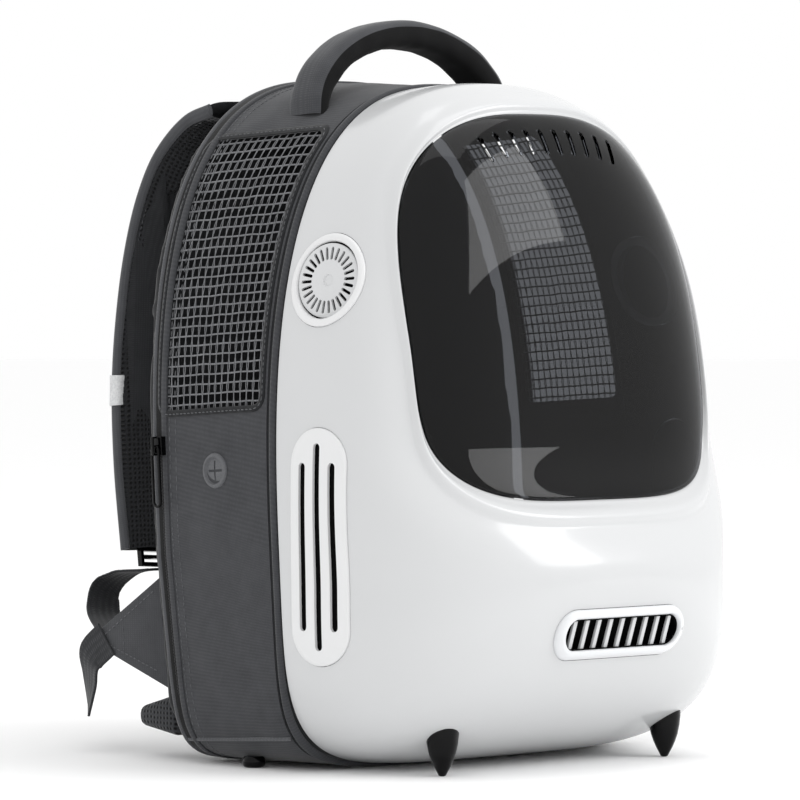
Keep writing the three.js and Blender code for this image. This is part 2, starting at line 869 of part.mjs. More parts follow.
// The webbing runs from the adjuster round a loop to the inner side of the anchor's tip. Each place
// is a share of the way sideways and down to the tip, and of the loop's reach behind it.
const webbingStart = strapEnd.clone().addScaledVector(strapEndWay, adjusterHeight + 2 * fit + webbingThickness);
const tipY = backPanelRear + anchorReach;
const webbingEndX = -anchorOffset + anchorThickness / 2 + fit + webbingWidth / 2;
const webbingCourse = [
  { side: 0, down: 0, behind: (webbingStart.y - tipY) / loopReach },
  { side: 0.12, down: 0.04, behind: 0.8 },
  { side: 0.28, down: 0.26, behind: 1 },
  { side: 0.44, down: 0.58, behind: 0.9 },
  { side: 0.68, down: 0.84, behind: 0.48 },
  { side: 1, down: 1, behind: -0.16 },
].map(({ side, down, behind }) => ({
  at: [
    lerp(webbingStart.x, webbingEndX, side),
    tipY + behind * loopReach,
    lerp(webbingStart.z, anchorTip, down),
  ],
  broad: [1, 0, 0],
}));

// The free end hangs from the anchor's tip, on its outer side
const tailOffset = anchorOffset + anchorThickness / 2 + fit + webbingThickness / 2;
const tailCourse = [
  { out: 0, down: 0, behind: -0.62, broad: [0, 0.4, 1] },
  { out: 0.25, down: 0.26, behind: 0.38, broad: [0, 0.8, 1] },
  { out: -0.25, down: 0.57, behind: 0.62, broad: [0.4, 1, 0.5] },
  { out: -1, down: 1, behind: 1, broad: [0.8, 1, 0] },
].map(({ out, down, behind, broad }) => ({
  at: [-tailOffset - out * tailSway, tipY + behind * tailReach, anchorTip - down * tailLength],
  broad,
}));

function makeWaistTab() {
  const shape = new THREE.Shape([
    new THREE.Vector2(backPanelRear - backPanelPad, waistTabBottom),
    new THREE.Vector2(backPanelRear + waistTabReach, waistTabBottom + waistTabTaper),
    new THREE.Vector2(backPanelRear + waistTabReach, waistTabTop - waistTabTaper),
    new THREE.Vector2(backPanelRear - backPanelPad, waistTabTop),
  ]);
  return prism(shape, -waistTabOuter, -waistTabInner, acrossBody).subtract(backPanelBlank(fit));
}

// Zip: a chain on the band, a slider with a bridge, and a pull that hangs from the bridge
const zipSide = -rearHalfWidth;
const sliderOuter = zipSide - fit - zipHeight - fit - sliderHeight;
const pullRoom = pullBar * Math.SQRT2 + 2 * fit;
const pullAxisX = sliderOuter - pullRoom / 2;

function makeSideZip() {
  const layer = bandBlank(fit + zipHeight).subtract(bandBlank(fit));
  const low = baseSeamHeight * 2;
  const strand = box(zipSide, zipSetback, (zipTop + low) / 2, rearHalfWidth, zipWidth, zipTop - low);
  return layer.intersect(strand);
}

const sliderMiddle = zipTop - sliderLength / 2;

function makeZipSlider() {
  const deep = sliderHeight + zipHeight;
  const block = box(sliderOuter + deep / 2, zipSetback, sliderMiddle, deep, sliderWidth, sliderLength);
  const body = block.subtract(bandBlank(2 * fit + zipHeight));
  const rooted = fit / 3;
  const legX = sliderOuter - (pullRoom + bridgeWall) / 2 + rooted;
  const legZ = sliderLength / 2 - bridgeWall / 2;
  let slider = body;
  for (const side of [-1, 1]) {
    const legLength = pullRoom + bridgeWall + 2 * rooted;
    slider = slider.add(box(legX, zipSetback, sliderMiddle + side * legZ, legLength, bridgeWidth, bridgeWall));
  }
  const spanX = sliderOuter - pullRoom - bridgeWall / 2;
  return slider.add(box(spanX, zipSetback, sliderMiddle, bridgeWall, bridgeWidth, sliderLength));
}

function makeZipPull() {
  const height = pullLength;
  const middle = sliderMiddle + pullBar / 2 - height / 2;
  const outline = roundedRectangle(zipSetback, middle, pullWidth, height, pullWidth / 2.2);
  const inner = roundedRectangle(zipSetback, middle, pullWidth - 2 * pullBar, height - 2 * pullBar, pullWidth / 3);
  const from = pullAxisX - pullBar / 2;
  const ring = prism(outline, from, from + pullBar, acrossBody, 3);
  return ring.subtract(prism(inner, from - 1, from + pullBar + 1, acrossBody, 3));
}

function makeCablePort() {
  const side = outlineAt(portSetback).halfWidth;
  const centre = new THREE.Vector3(-side - fit, portSetback, portHeight);
  const profile = [
    [0, 0],
    [portRadius, 0],
    [portRadius, portThickness * 0.6],
    [portRadius - 1, portThickness],
    [portRadius - 2.4, portThickness],
    [portRadius - 3, portThickness * 0.5],
    [0, portThickness * 0.5],
  ];
  const port = turned(profile, centre, xAxis.clone().negate());
  const slitLength = portRadius * 1.2;
  const deep = portThickness * 4;
  const upright = box(centre.x, portSetback, portHeight, deep, portSlit, slitLength);
  const level = box(centre.x, portSetback, portHeight, deep, slitLength, portSlit);
  return port.subtract(upright).subtract(level).subtract(bandBlank(fit));
}

const looks = {
  shell: { color: '#e9eaeb', roughness: 0.22, metalness: 0 },
  plate: { color: '#eceded', roughness: 0.3, metalness: 0 },
  bezel: { color: '#d9dbdc', roughness: 0.15, metalness: 0.9 },
  louvre: { color: '#c9cbcc', roughness: 0.35, metalness: 0 },
  black: { color: '#141416', roughness: 0.2, metalness: 0 },
  dome: { color: '#3a3c40', roughness: 0.06, metalness: 0, transparent: true, opacity: 0.45 },
  fabric: { color: '#4b4c4f', roughness: 0.92, metalness: 0 },
  netting: { color: '#3a3b3e', roughness: 0.9, metalness: 0 },
  tape: { color: '#5a5b5e', roughness: 0.85, metalness: 0 },
  webbing: { color: '#3c3d40', roughness: 0.8, metalness: 0 },
  reflective: { color: '#c8cacc', roughness: 0.45, metalness: 0.1 },
};

const bag = new THREE.Group();

function place(name, geometry, look) {
  const mesh = new THREE.Mesh(geometry, new THREE.MeshStandardMaterial(looks[look]));
  mesh.name = name;
  bag.add(mesh);
}

function placePair(name, geometry, look) {
  place(`${name}_left`, geometry, look);
  place(`${name}_right`, mirrored(geometry), look);
}

place('front_shell', geometryOf(makeFrontShell()), 'shell');
place('dome_window', geometryOf(makeDomeWindow()), 'dome');
placePair('round_vent_bezel', geometryOf(makeRoundVentBezel()), 'plate');
placePair('round_vent_grille', geometryOf(makeRoundVentGrille()), 'louvre');
placePair('side_vent', geometryOf(makeSideVent()), 'plate');
place('front_vent_bezel', geometryOf(makeFrontVentBezel()), 'bezel');
place('front_vent_louvres', geometryOf(makeFrontVentLouvres()), 'louvre');
place('front_vent_tray', geometryOf(makeFrontVentTray()), 'black');
placePair('front_foot', geometryOf(makeFrontFoot()), 'black');
placePair('rear_stud', geometryOf(makeRearStud()), 'black');
place('front_binding', geometryOf(makeFrontBinding()), 'tape');
place('bag_band', geometryOf(makeBagBand()), 'fabric');
place('base_panel', geometryOf(makeBasePanel()), 'fabric');
placePair('mesh_window', geometryOf(makeMeshWindow()), 'netting');
place('rear_piping', geometryOf(makeRearPiping()), 'tape');
place('back_panel', geometryOf(backPanelBlank(0)), 'fabric');
place('carry_handle', geometryOf(makeCarryHandle()), 'fabric');
placePair('shoulder_strap', geometryOf(makeShoulderStrap()), 'fabric');
placePair('reflective_band', geometryOf(makeReflectiveBand()), 'reflective');
placePair('strap_anchor', geometryOf(makeStrapAnchor()), 'fabric');
placePair('strap_adjuster', geometryOf(makeStrapAdjuster()), 'black');
placePair('strap_webbing', geometryOf(webbing(webbingCourse, 17)), 'webbing');
placePair('strap_tail', geometryOf(webbing(tailCourse, 9)), 'webbing');
placePair('waist_tab', geometryOf(makeWaistTab()), 'fabric');
place('side_zip', geometryOf(makeSideZip()), 'black');
place('zip_slider', geometryOf(makeZipSlider()), 'black');
place('zip_pull', geometryOf(makeZipPull()), 'black');
place('cable_port', geometryOf(makeCablePort()), 'tape');

// The body leans back on its feet, and the whole stands centred over the origin
bag.rotation.x = -lean;
const carrier = new THREE.Group();
carrier.add(bag);
carrier.updateMatrixWorld(true);
const middle = new THREE.Box3().setFromObject(carrier, true).getCenter(new THREE.Vector3());
bag.position.set(-middle.x, -middle.y, 0);
carrier.updateMatrixWorld(true);

export default carrier;
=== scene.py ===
# %% [markdown]
# # A bubble pet carrier backpack
#
# The real thing is a backpack with a hard, glossy white front shell, a smoky clear bubble to look out
# of, and a dark cloth body. Its solids come packed from the construction model. This lesson dresses
# them: it lays smooth surfaces, cloth, netting, stitching and plastics over them, piece by piece.

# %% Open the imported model
import math

import bmesh
import bpy
from mathutils import Matrix, Vector, noise


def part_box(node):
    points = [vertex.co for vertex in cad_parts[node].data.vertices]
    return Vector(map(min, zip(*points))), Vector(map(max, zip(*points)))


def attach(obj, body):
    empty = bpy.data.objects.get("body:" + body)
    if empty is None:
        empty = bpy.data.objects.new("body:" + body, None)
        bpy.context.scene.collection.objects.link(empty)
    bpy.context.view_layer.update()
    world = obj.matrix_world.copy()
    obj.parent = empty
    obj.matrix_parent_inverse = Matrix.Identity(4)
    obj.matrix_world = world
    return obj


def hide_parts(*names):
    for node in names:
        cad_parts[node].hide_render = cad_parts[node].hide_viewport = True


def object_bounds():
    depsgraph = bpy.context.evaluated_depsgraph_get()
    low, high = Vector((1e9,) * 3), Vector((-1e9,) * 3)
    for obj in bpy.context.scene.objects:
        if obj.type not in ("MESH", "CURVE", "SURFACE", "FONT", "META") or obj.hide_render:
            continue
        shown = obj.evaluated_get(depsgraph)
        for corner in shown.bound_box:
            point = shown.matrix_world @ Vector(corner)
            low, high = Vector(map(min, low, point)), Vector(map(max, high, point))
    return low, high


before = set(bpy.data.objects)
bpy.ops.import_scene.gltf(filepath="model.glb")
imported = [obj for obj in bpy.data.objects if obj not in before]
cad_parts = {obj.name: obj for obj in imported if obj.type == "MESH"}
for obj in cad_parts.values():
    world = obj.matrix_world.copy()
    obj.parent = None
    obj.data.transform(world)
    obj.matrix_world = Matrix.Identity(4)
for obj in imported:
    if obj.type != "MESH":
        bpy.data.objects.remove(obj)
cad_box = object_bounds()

cad_sides = Vector(cad_box[1]) - Vector(cad_box[0])
print("nodes:", len(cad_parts), "box:", [round(side, 3) for side in cad_sides])

# %% [markdown]
# ## The leaning body
#
# The bag is built upright, in millimetres, with the seam between shell and cloth at y = 0, and then
# leans back 3.6 degrees on its feet. One matrix takes a point of the upright bag to its real place.
# It is hung on the left rear stud, whose place in the upright bag is known.

# %% Place the upright bag in the frame
MM = 0.001
LEAN = math.radians(3.6)
STUD_SPREAD = 144
STUD_SETBACK = 52

stud_low, stud_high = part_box("rear_stud_left")
stud_middle = (stud_low + stud_high) / 2
body_shift = Vector((stud_middle.x + STUD_SPREAD * MM, stud_middle.y - STUD_SETBACK * MM, 0))
body_place = Matrix.Translation(body_shift) @ Matrix.Rotation(-LEAN, 4, "X") @ Matrix.Scale(MM, 4)


def at(x, y, z):
    """The place in the frame of a point of the upright bag, given in millimetres."""
    return body_place @ Vector((x, y, z))


print("the foot of the front seam stands at", [round(value, 4) for value in at(0, 0, 0)])

# %% [markdown]
# ## The camera
#
# The photo was taken with a long lens from 3.3 metres, a little above the middle of the bag, and 43
# degrees round to its left. A long lens keeps upright lines nearly parallel. The place of the camera
# is worked out from the two front feet, which are the nearest things on the ground.

# %% Stand the camera in front and to the left
CAMERA_TURN = math.radians(42.8)
CAMERA_DISTANCE = 3.261
CAMERA_HEIGHT = 0.3063
FOCAL_PIXELS = 5185
PHOTO_PIXELS = 800
FEET_PIXEL_X = 556.5
DOWN_PIXELS = 120
SENSOR = 36

foot_corners = [*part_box("front_foot_left"), *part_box("front_foot_right")]
feet_middle = sum(foot_corners, Vector()) / len(foot_corners)
forward = Vector((math.sin(CAMERA_TURN), math.cos(CAMERA_TURN), 0))
sideways = Vector((math.cos(CAMERA_TURN), -math.sin(CAMERA_TURN), 0))
aside = (FEET_PIXEL_X - PHOTO_PIXELS / 2) / FOCAL_PIXELS * CAMERA_DISTANCE
ground_place = Vector((feet_middle.x, feet_middle.y, 0)) - forward * CAMERA_DISTANCE - sideways * aside
look = forward - Vector((0, 0, DOWN_PIXELS / FOCAL_PIXELS))

camera_data = bpy.data.cameras.new("camera")
camera_data.sensor_width = SENSOR
camera_data.lens = FOCAL_PIXELS / PHOTO_PIXELS * SENSOR
camera_data.clip_end = 20
camera = bpy.data.objects.new("camera", camera_data)
camera.location = ground_place + Vector((0, 0, CAMERA_HEIGHT))
camera.rotation_euler = look.to_track_quat("-Z", "Y").to_euler()
bpy.context.scene.collection.objects.link(camera)
bpy.context.scene.camera = camera
print("camera at", [round(value, 3) for value in camera.location], "lens", round(camera_data.lens, 1))

# %% [markdown]
# ## Light
#
# The photo is a product shot on white: soft light from all round, a large light from the front right
# and above, and little shadow. A white world does most of it, and two large soft panels shape the
# shell. The bag's left side, where the cloth is, gets only the world and what the floor throws back.

# %% Light the studio
WORLD_STRENGTH = 1
KEY_POWER = 24
TOP_POWER = 12


def add_panel(name, place, size, power, target):
    """A large soft square light that looks at a target."""
    light = bpy.data.lights.new(name, "AREA")
    light.shape = "SQUARE"
    light.size = size
    light.energy = power
    panel = bpy.data.objects.new(name, light)
    panel.location = place
    panel.rotation_euler = (Vector(target) - Vector(place)).to_track_quat("-Z", "Y").to_euler()
    bpy.context.scene.collection.objects.link(panel)


world = bpy.data.worlds.new("studio")
world.use_nodes = True
world.node_tree.nodes["Background"].inputs["Color"].default_value = (1, 1, 1, 1)
world.node_tree.nodes["Background"].inputs["Strength"].default_value = WORLD_STRENGTH
bpy.context.scene.world = world
bpy.context.scene.view_settings.view_transform = "Standard"
add_panel("key_panel", (1.3, -2.2, 1.7), 1.4, KEY_POWER, (0, 0, 0.25))
add_panel("top_panel", (0.3, -0.3, 2.6), 1.8, TOP_POWER, (0, 0, 0.25))

# %% [markdown]
# ## Tools for materials
#
# Colours are written as the hex values seen on a screen, and one function turns them to linear light.
# Another adds a node with its settings and links, so that each material reads as a short recipe.

# %% Colour and node helpers


def linear(colour):
    """A screen colour such as #808080 as linear light, with an alpha of one."""
    shares = [int(colour[start:start + 2], 16) / 255 for start in (1, 3, 5)]
    return (*[share / 12.92 if share <= 0.04045 else ((share + 0.055) / 1.055) ** 2.4 for share in shares], 1)


def add(tree, kind, settings, links=()):
    """Adds a node. A setting or a link names one of its sockets, by word or number, or an option."""
    node = tree.nodes.new(kind)
    for name, value in settings.items():
        if isinstance(name, int) or name in node.inputs:
            node.inputs[name].default_value = value
        else:
            setattr(node, name, value)
    for name, socket in dict(links).items():
        tree.links.new(socket, node.inputs[name])
    return node


def start_material(name, colour, settings):
    """A material whose even values sit on the shader's own sockets."""
    material = bpy.data.materials.new(name)
    material.use_nodes = True
    shader = material.node_tree.nodes["Principled BSDF"]
    shader.inputs["Base Color"].default_value = linear(colour)
    for socket, value in settings.items():
        shader.inputs[socket].default_value = value
    return material, material.node_tree, shader


def vary_colour(tree, shader, dark, light, factor):
    """Gives the shader a mix of two screen colours by a factor."""
    mix = add(tree, "ShaderNodeMix", {"data_type": "RGBA", 6: linear(dark), 7: linear(light)}, {0: factor})
    tree.links.new(mix.outputs[2], shader.inputs["Base Color"])


def raise_bump(tree, shader, height, strength, depth):
    """Gives the shader a bump of a depth in millimetres."""
    bump = add(tree, "ShaderNodeBump", {"Strength": strength, "Distance": depth * MM}, {"Height": height})
    tree.links.new(bump.outputs["Normal"], shader.inputs["Normal"])


def per_pitch(pitch):
    """The scale of a noise texture whose lumps come once in a pitch in millimetres."""
    return 1 / (pitch * MM)


def wave_scale(pitch):
    """The scale of a wave texture whose bands come once in a pitch in millimetres."""
    return 2 * math.pi / 20 / (pitch * MM)


# %% [markdown]
# ## Moulded plastics
#
# The shell is ABS, moulded against polished steel. It is glossy, but a large moulding is never quite
# flat: it shrinks a little unevenly as it cools, and its reflections swim. The vents and feet are the
# same plastic in other colours and polishes, so one recipe makes them all.

# %% ABS and its relatives


def make_abs(name, colour, shade, roughness, ripple, depth, coat=0.3, specular=0.5):
    """ABS: even colour with a faint cloudiness, and ripples of a pitch and depth in millimetres."""
    settings = {"Roughness": roughness, "IOR": 1.53, "Coat Weight": coat, "Coat Roughness": 0.05,
                "Specular IOR Level": specular}
    material, tree, shader = start_material(name, colour, settings)
    place = add(tree, "ShaderNodeTexCoord", {})
    cloud = add(tree, "ShaderNodeTexNoise", {"Scale": 9, "Detail": 3}, {"Vector": place.outputs["Object"]})
    vary_colour(tree, shader, shade, colour, cloud.outputs["Fac"])
    slow = add(tree, "ShaderNodeTexNoise", {"Scale": per_pitch(ripple), "Detail": 1},
               {"Vector": place.outputs["Object"]})
    raise_bump(tree, shader, slow.outputs["Fac"], 0.4, depth)
    return material


shell_abs = make_abs("polished_white_abs", "#cfd0d1", "#cbcccd", 0.22, 60, 0.2)
plate_abs = make_abs("moulded_plate_abs", "#e2e2e3", "#dddede", 0.28, 30, 0.1)
bezel_abs = make_abs("bright_bezel_abs", "#e9eaec", "#dfe1e3", 0.08, 20, 0.1)
grille_abs = make_abs("satin_grille_abs", "#d4d5d6", "#c6c7c8", 0.35, 12, 0.05)
black_abs = make_abs("glossy_black_abs", "#050506", "#030304", 0.1, 18, 0.08, 0, 0.15)
# Near-black painted shade: it colours the inside of the white shell, the vent wells and the sheets behind
# slots
painted_shade_abs = make_abs("painted_shade_black_abs", "#040404", "#020202", 0.7, 12, 0.05, 0, 0.05)

# %% [markdown]
# The dome is polycarbonate, tinted like smoked glass. Light goes through it twice, in and out, so a
# middle grey already makes the inside look dark. Its polish gives sharp reflections. Its index is set
# below the real 1.58: this studio is white all round, and a full reflection would veil the inside.

# %% Smoked polycarbonate
smoke_settings = {"Roughness": 0.02, "IOR": 1.3, "Transmission Weight": 1}
smoked_dome, smoke_tree, smoke_shader = start_material("smoked_polycarbonate", "#4f5155", smoke_settings)
smoke_place = add(smoke_tree, "ShaderNodeTexCoord", {})
smoke_ripple = add(smoke_tree, "ShaderNodeTexNoise", {"Scale": per_pitch(90), "Detail": 1},
                   {"Vector": smoke_place.outputs["Object"]})
raise_bump(smoke_tree, smoke_shader, smoke_ripple.outputs["Fac"], 0.3, 0.3)

# %% [markdown]
# ## Cloth
#
# The body is polyester twill, and the trims are tape and webbing. All are threads that cross: one
# wave texture makes the threads that run along, another those that run across. Real threads are about
# a third of a millimetre and would vanish in the picture, so they are drawn three to five times as
# coarse. A slow noise gives the uneven fade that cloth has, and sheen the light that loose fibres
# catch at a glancing angle.

# %% Woven cloths


def make_weave(name, dark, light, pitches, turn, depth, sheen=0.2, source="UV"):
    """Woven threads of two pitches in millimetres, turned by degrees, with a bump of a depth."""
    settings = {"Roughness": 0.88, "Sheen Weight": sheen, "Sheen Roughness": 0.45, "Specular IOR Level": 0.25}
    material, tree, shader = start_material(name, light, settings)
    place = add(tree, "ShaderNodeTexCoord", {})
    turned = add(tree, "ShaderNodeMapping", {"Rotation": (0, 0, math.radians(turn))},
                 {"Vector": place.outputs[source]})
    threads = []
    for direction, pitch in zip("XY", pitches):
        threads.append(add(tree, "ShaderNodeTexWave", {
            "bands_direction": direction, "Scale": wave_scale(pitch),
            "Distortion": 1.2, "Detail": 2, "Detail Scale": 1.5,
        }, {"Vector": turned.outputs["Vector"]}))
    height = add(tree, "ShaderNodeMath", {"operation": "MULTIPLY"},
                 {0: threads[0].outputs["Fac"], 1: threads[1].outputs["Fac"]})
    fade = add(tree, "ShaderNodeTexNoise", {"Scale": per_pitch(14), "Detail": 5, "Roughness": 0.7},
               {"Vector": place.outputs["Object"]})
    # The colour darkens where the threads dip, painted shade between them, mixed with the cloth's own uneven
    # fade
    fade_and_thread_shade = add(tree, "ShaderNodeMath", {"operation": "MULTIPLY_ADD", 1: 0.5},
                {0: height.outputs[0], 2: fade.outputs["Fac"]})
    shift = add(tree, "ShaderNodeMath", {"operation": "SUBTRACT", 1: 0.15, "use_clamp": True},
                {0: fade_and_thread_shade.outputs[0]})
    vary_colour(tree, shader, dark, light, shift.outputs[0])
    raise_bump(tree, shader, height.outputs[0], 0.6, depth)
    return material


body_twill = make_weave("polyester_twill", "#333437", "#48494c", (2.2, 1.3), 2, 0.14)
lining_cloth = make_weave("black_lining_cloth", "#0b0b0c", "#141416", (1.5, 1.5), 0, 0.1, 0.05)
# Dark tape, made near-black to paint the shadow in the grooves of the seam binding; it also trims the net
# hems and the back's rim
dark_tape_and_groove_shade = make_weave("grosgrain_tape_and_groove_shade", "#17181a", "#28292b", (1.6, 40), 0, 0.2)
piping_cord = make_weave("covered_piping", "#454649", "#606164", (1.6, 3), 30, 0.2, 0.3)
nylon_webbing = make_weave("nylon_webbing", "#232426", "#3b3c3f", (2.2, 1.8), 0, 0.4)
strap_cloth = make_weave("strap_twill", "#38393c", "#4d4e51", (2.2, 1.3), 2, 0.14)
net_yarn = make_weave("net_yarn", "#5c5d60", "#88898c", (0.9, 2.4), 25, 0.1, 0.3, "Object")
zip_nylon = make_weave("zip_tape_nylon", "#060607", "#101011", (1.2, 2), 0, 0.15)
# Near-black cloth for the handle's sides and underside
underside_cloth = make_weave("near_black_underside_cloth", "#050506", "#0d0d0e", (1.3, 1.3), 0, 0.08, 0.05)
sewing_thread = make_weave("sewing_thread", "#4a4b4e", "#68696c", (0.8, 2), 35, 0.1, 0.3, "Object")

# %% [markdown]
# Air mesh is a knit with small round holes, which makes it look dark and textured. The holes are the
# cells of a Voronoi texture with no randomness, drawn at their real pitch of about 3 millimetres. The
# holes are painted near-black, as shade inside them, and the same depth drives their bump.

# %% Air mesh, reflective tape and soft rubber
air_settings = {"Roughness": 0.95, "Sheen Weight": 0.15, "Specular IOR Level": 0.2}
air_mesh, air_tree, air_shader = start_material("knitted_air_mesh", "#2e2f32", air_settings)
air_place = add(air_tree, "ShaderNodeTexCoord", {})
air_holes = add(air_tree, "ShaderNodeTexVoronoi", {"Scale": per_pitch(3.2), "Randomness": 0.15},
                {"Vector": air_place.outputs["UV"]})
hole_depth_and_shade = add(air_tree, "ShaderNodeMapRange", {1: 0.15, 2: 0.45}, {0: air_holes.outputs["Distance"]})
# Painted shade: near-black in the holes, the knit's grey on the yarn
vary_colour(air_tree, air_shader, "#0d0d0e", "#3d3e41", hole_depth_and_shade.outputs[0])
raise_bump(air_tree, air_shader, hole_depth_and_shade.outputs[0], 0.8, 0.8)

# Glass beads in a resin film: pale, slightly rough, with the faint grid of the cloth under it
bright_settings = {"Roughness": 0.42, "Specular IOR Level": 0.6, "Metallic": 0.1}
bright_tape, bright_tree, bright_shader = start_material("beaded_reflective_tape", "#d2d3d4", bright_settings)
bright_place = add(bright_tree, "ShaderNodeTexCoord", {})
bright_beads = add(bright_tree, "ShaderNodeTexVoronoi", {"Scale": per_pitch(1.4)},
                   {"Vector": bright_place.outputs["Object"]})
vary_colour(bright_tree, bright_shader, "#bfc0c2", "#dcdddd", bright_beads.outputs["Distance"])
raise_bump(bright_tree, bright_shader, bright_beads.outputs["Distance"], 0.3, 0.15)

# Moulded silicone: dark, soft and matt, with a fine grain
rubber_settings = {"Roughness": 0.6, "IOR": 1.41}
rubber, rubber_tree, rubber_shader = start_material("moulded_silicone", "#5a5b5e", rubber_settings)
rubber_place = add(rubber_tree, "ShaderNodeTexCoord", {})
rubber_grain = add(rubber_tree, "ShaderNodeTexNoise", {"Scale": per_pitch(1.2)},
                   {"Vector": rubber_place.outputs["Object"]})
vary_colour(rubber_tree, rubber_shader, "#505154", "#6a6b6e", rubber_grain.outputs["Fac"])
raise_bump(rubber_tree, rubber_shader, rubber_grain.outputs["Fac"], 0.3, 0.1)
print("materials:", len(bpy.data.materials))

# %% [markdown]
# ## Tools for shapes
#
# Nearly every surface here is a grid laid over a curve: a rule gives a point for each pair of shares,
# from 0 to 1, of the way across and along. Blender's grid operator makes the faces, and the rule puts
# its vertices in place. Its map is kept in metres, so that a weave has one scale on every cloth.

# %% Grids, ends and pieces


def mix(low, high, share):
    return low + (high - low) * share


def smooth_share(value, low, high):
    """How far a value lies between two others, easing in and out."""
    share = min(1, max(0, (value - low) / (high - low)))
    return share * share * (3 - 2 * share)


def start_mesh():
    bm = bmesh.new()
    bm.loops.layers.uv.new("UVMap")
    return bm


def sweep(bm, across, along, place, lengths=(100, 100), material=0, lined=False):
    """Lays new faces over a surface. The lengths, in millimetres, are what its map spans.

    A lined surface has the next material on its second half, which is its inner face.
    """
    made = bmesh.ops.create_grid(bm, x_segments=across, y_segments=along, size=0.5)["verts"]
    shares = {vertex: (vertex.co.x + 0.5, vertex.co.y + 0.5) for vertex in made}
    layer = bm.loops.layers.uv.active
    for face in {face for vertex in made for face in vertex.link_faces}:
        second_half = sum(shares[vertex][1] for vertex in face.verts) / len(face.verts) > 0.5
        face.material_index = material + 1 if lined and second_half else material
        for loop in face.loops:
            u, v = shares[loop.vert]
            loop[layer].uv = (u * lengths[0] * MM, v * lengths[1] * MM)
    for vertex, (u, v) in shares.items():
        vertex.co = place(u, v)
    return made


def merge(bm):
    bmesh.ops.remove_doubles(bm, verts=bm.verts, dist=2e-6)


def close_ends(bm):
    """Fills the open ends of a tube or prism."""
    merge(bm)
    bmesh.ops.holes_fill(bm, edges=[edge for edge in bm.edges if edge.is_boundary], sides=0)


def to_object(name, bm, materials=(), sharp=35):
    """Makes an object of closed shapes that face outwards, smooth but for edges over an angle."""
    merge(bm)
    bmesh.ops.recalc_face_normals(bm, faces=bm.faces)
    mesh = bpy.data.meshes.new(name)
    bm.to_mesh(mesh)
    bm.free()
    for material in materials:
        mesh.materials.append(material)
    piece = bpy.data.objects.new(name, mesh)
    bpy.context.scene.collection.objects.link(piece)
    shade(piece, sharp)
    return piece


def shade(piece, sharp=35):
    piece.data.shade_smooth()
    piece.data.set_sharp_from_angle(angle=math.radians(sharp))


def settle(piece):
    """Turns what a piece's modifiers make into its own mesh."""
    bpy.context.view_layer.update()
    made = piece.evaluated_get(bpy.context.evaluated_depsgraph_get())
    mesh = bpy.data.meshes.new_from_object(made)
    piece.modifiers.clear()
    piece.data = mesh


def cut(piece, cutter_mesh, sharp=35):
    """Cuts a closed shape out of a piece."""
    cutter = to_object("cutter", cutter_mesh)
    knife = piece.modifiers.new("cut", "BOOLEAN")
    knife.object = cutter
    knife.operation = "DIFFERENCE"
    knife.solver = "MANIFOLD"
    settle(piece)
    bpy.data.objects.remove(cutter)
    shade(piece, sharp)


def join_in(piece, nodes, body="carrier"):
    """Rides a piece on its body, in place of the nodes that it stands for."""
    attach(piece, body)
    if nodes:
        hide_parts(*nodes)
    print(piece.name, "has", len(piece.data.polygons), "faces")
    return piece

# %% [markdown]
# ## The body's outline
#
# Seen from the front, the seam between shell and cloth is a superellipse: rounder above than below.
# Towards the back it grows taller and its lower corners get square, because the base stays level on
# the ground while the body leans. Every ring of the cloth is this outline at its own depth.

# %% Outlines of the body
FRONT_HALF_WIDTH = 161
FRONT_MIDDLE = 138.5
FRONT_TOP = 431
FRONT_TOP_POWER = 2.54
FRONT_BOTTOM_POWER = 4.9
REAR_HALF_WIDTH = 163
REAR_MIDDLE = 170
REAR_TOP = 443.5
REAR_TOP_POWER = 2.67
REAR_BOTTOM_POWER = 10
BASE_CLEARANCE = 1.2
BAND_DEPTH = 110
REAR_TUCK = 11


def outline_at(depth):
    """The outline at a distance behind the front seam: half width, middle, top, bottom and powers."""
    share = depth / BAND_DEPTH
    return (
        mix(FRONT_HALF_WIDTH, REAR_HALF_WIDTH, share),
        mix(FRONT_MIDDLE, REAR_MIDDLE, share),
        mix(FRONT_TOP, REAR_TOP, share),
        (BASE_CLEARANCE + depth * math.sin(LEAN)) / math.cos(LEAN),
        mix(FRONT_TOP_POWER, REAR_TOP_POWER, share),
        mix(FRONT_BOTTOM_POWER, REAR_BOTTOM_POWER, math.sqrt(max(0, share))),
    )


def outline_point(outline, share, grow=0):
    """The x and z of an outline at a share of a turn about its middle, grown by a margin."""
    half_width, middle, top, bottom, top_power, bottom_power = outline
    across = math.cos(2 * math.pi * share)
    up = math.sin(2 * math.pi * share)
    power = bottom_power if up < 0 else top_power
    height = middle - bottom if up < 0 else top - middle
    reach = (abs(across) ** power + abs(up) ** power) ** (-1 / power)
    return across * reach * (half_width + grow), middle + up * reach * (height + grow)


def outline_share(outline, x, z, grow=0):
    """How far out a point lies in an outline: 0 in its middle, 1 on its edge."""
    half_width, middle, top, bottom, top_power, bottom_power = outline
    below = z < middle
    power = bottom_power if below else top_power
    height = middle - bottom if below else top - middle
    across = abs(x) / (half_width + grow)
    up = abs(z - middle) / (height + grow)
    return (across ** power + up ** power) ** (1 / power)


def band_point(depth, share, grow=0):
    """A point of the cloth body's surface in the upright bag. Its lower rear edge tucks forward."""
    x, z = outline_point(outline_at(depth), share, grow)
    low = max(0, 1 - z / FRONT_MIDDLE)
    return Vector((x, depth - REAR_TUCK * low * depth / BAND_DEPTH, z))


seam_outline = outline_at(0)
OUTLINE_LENGTH = sum(
    (band_point(0, (step + 1) / 180) - band_point(0, step / 180)).length for step in range(180)
)
print("the seam is", round(OUTLINE_LENGTH), "mm round")

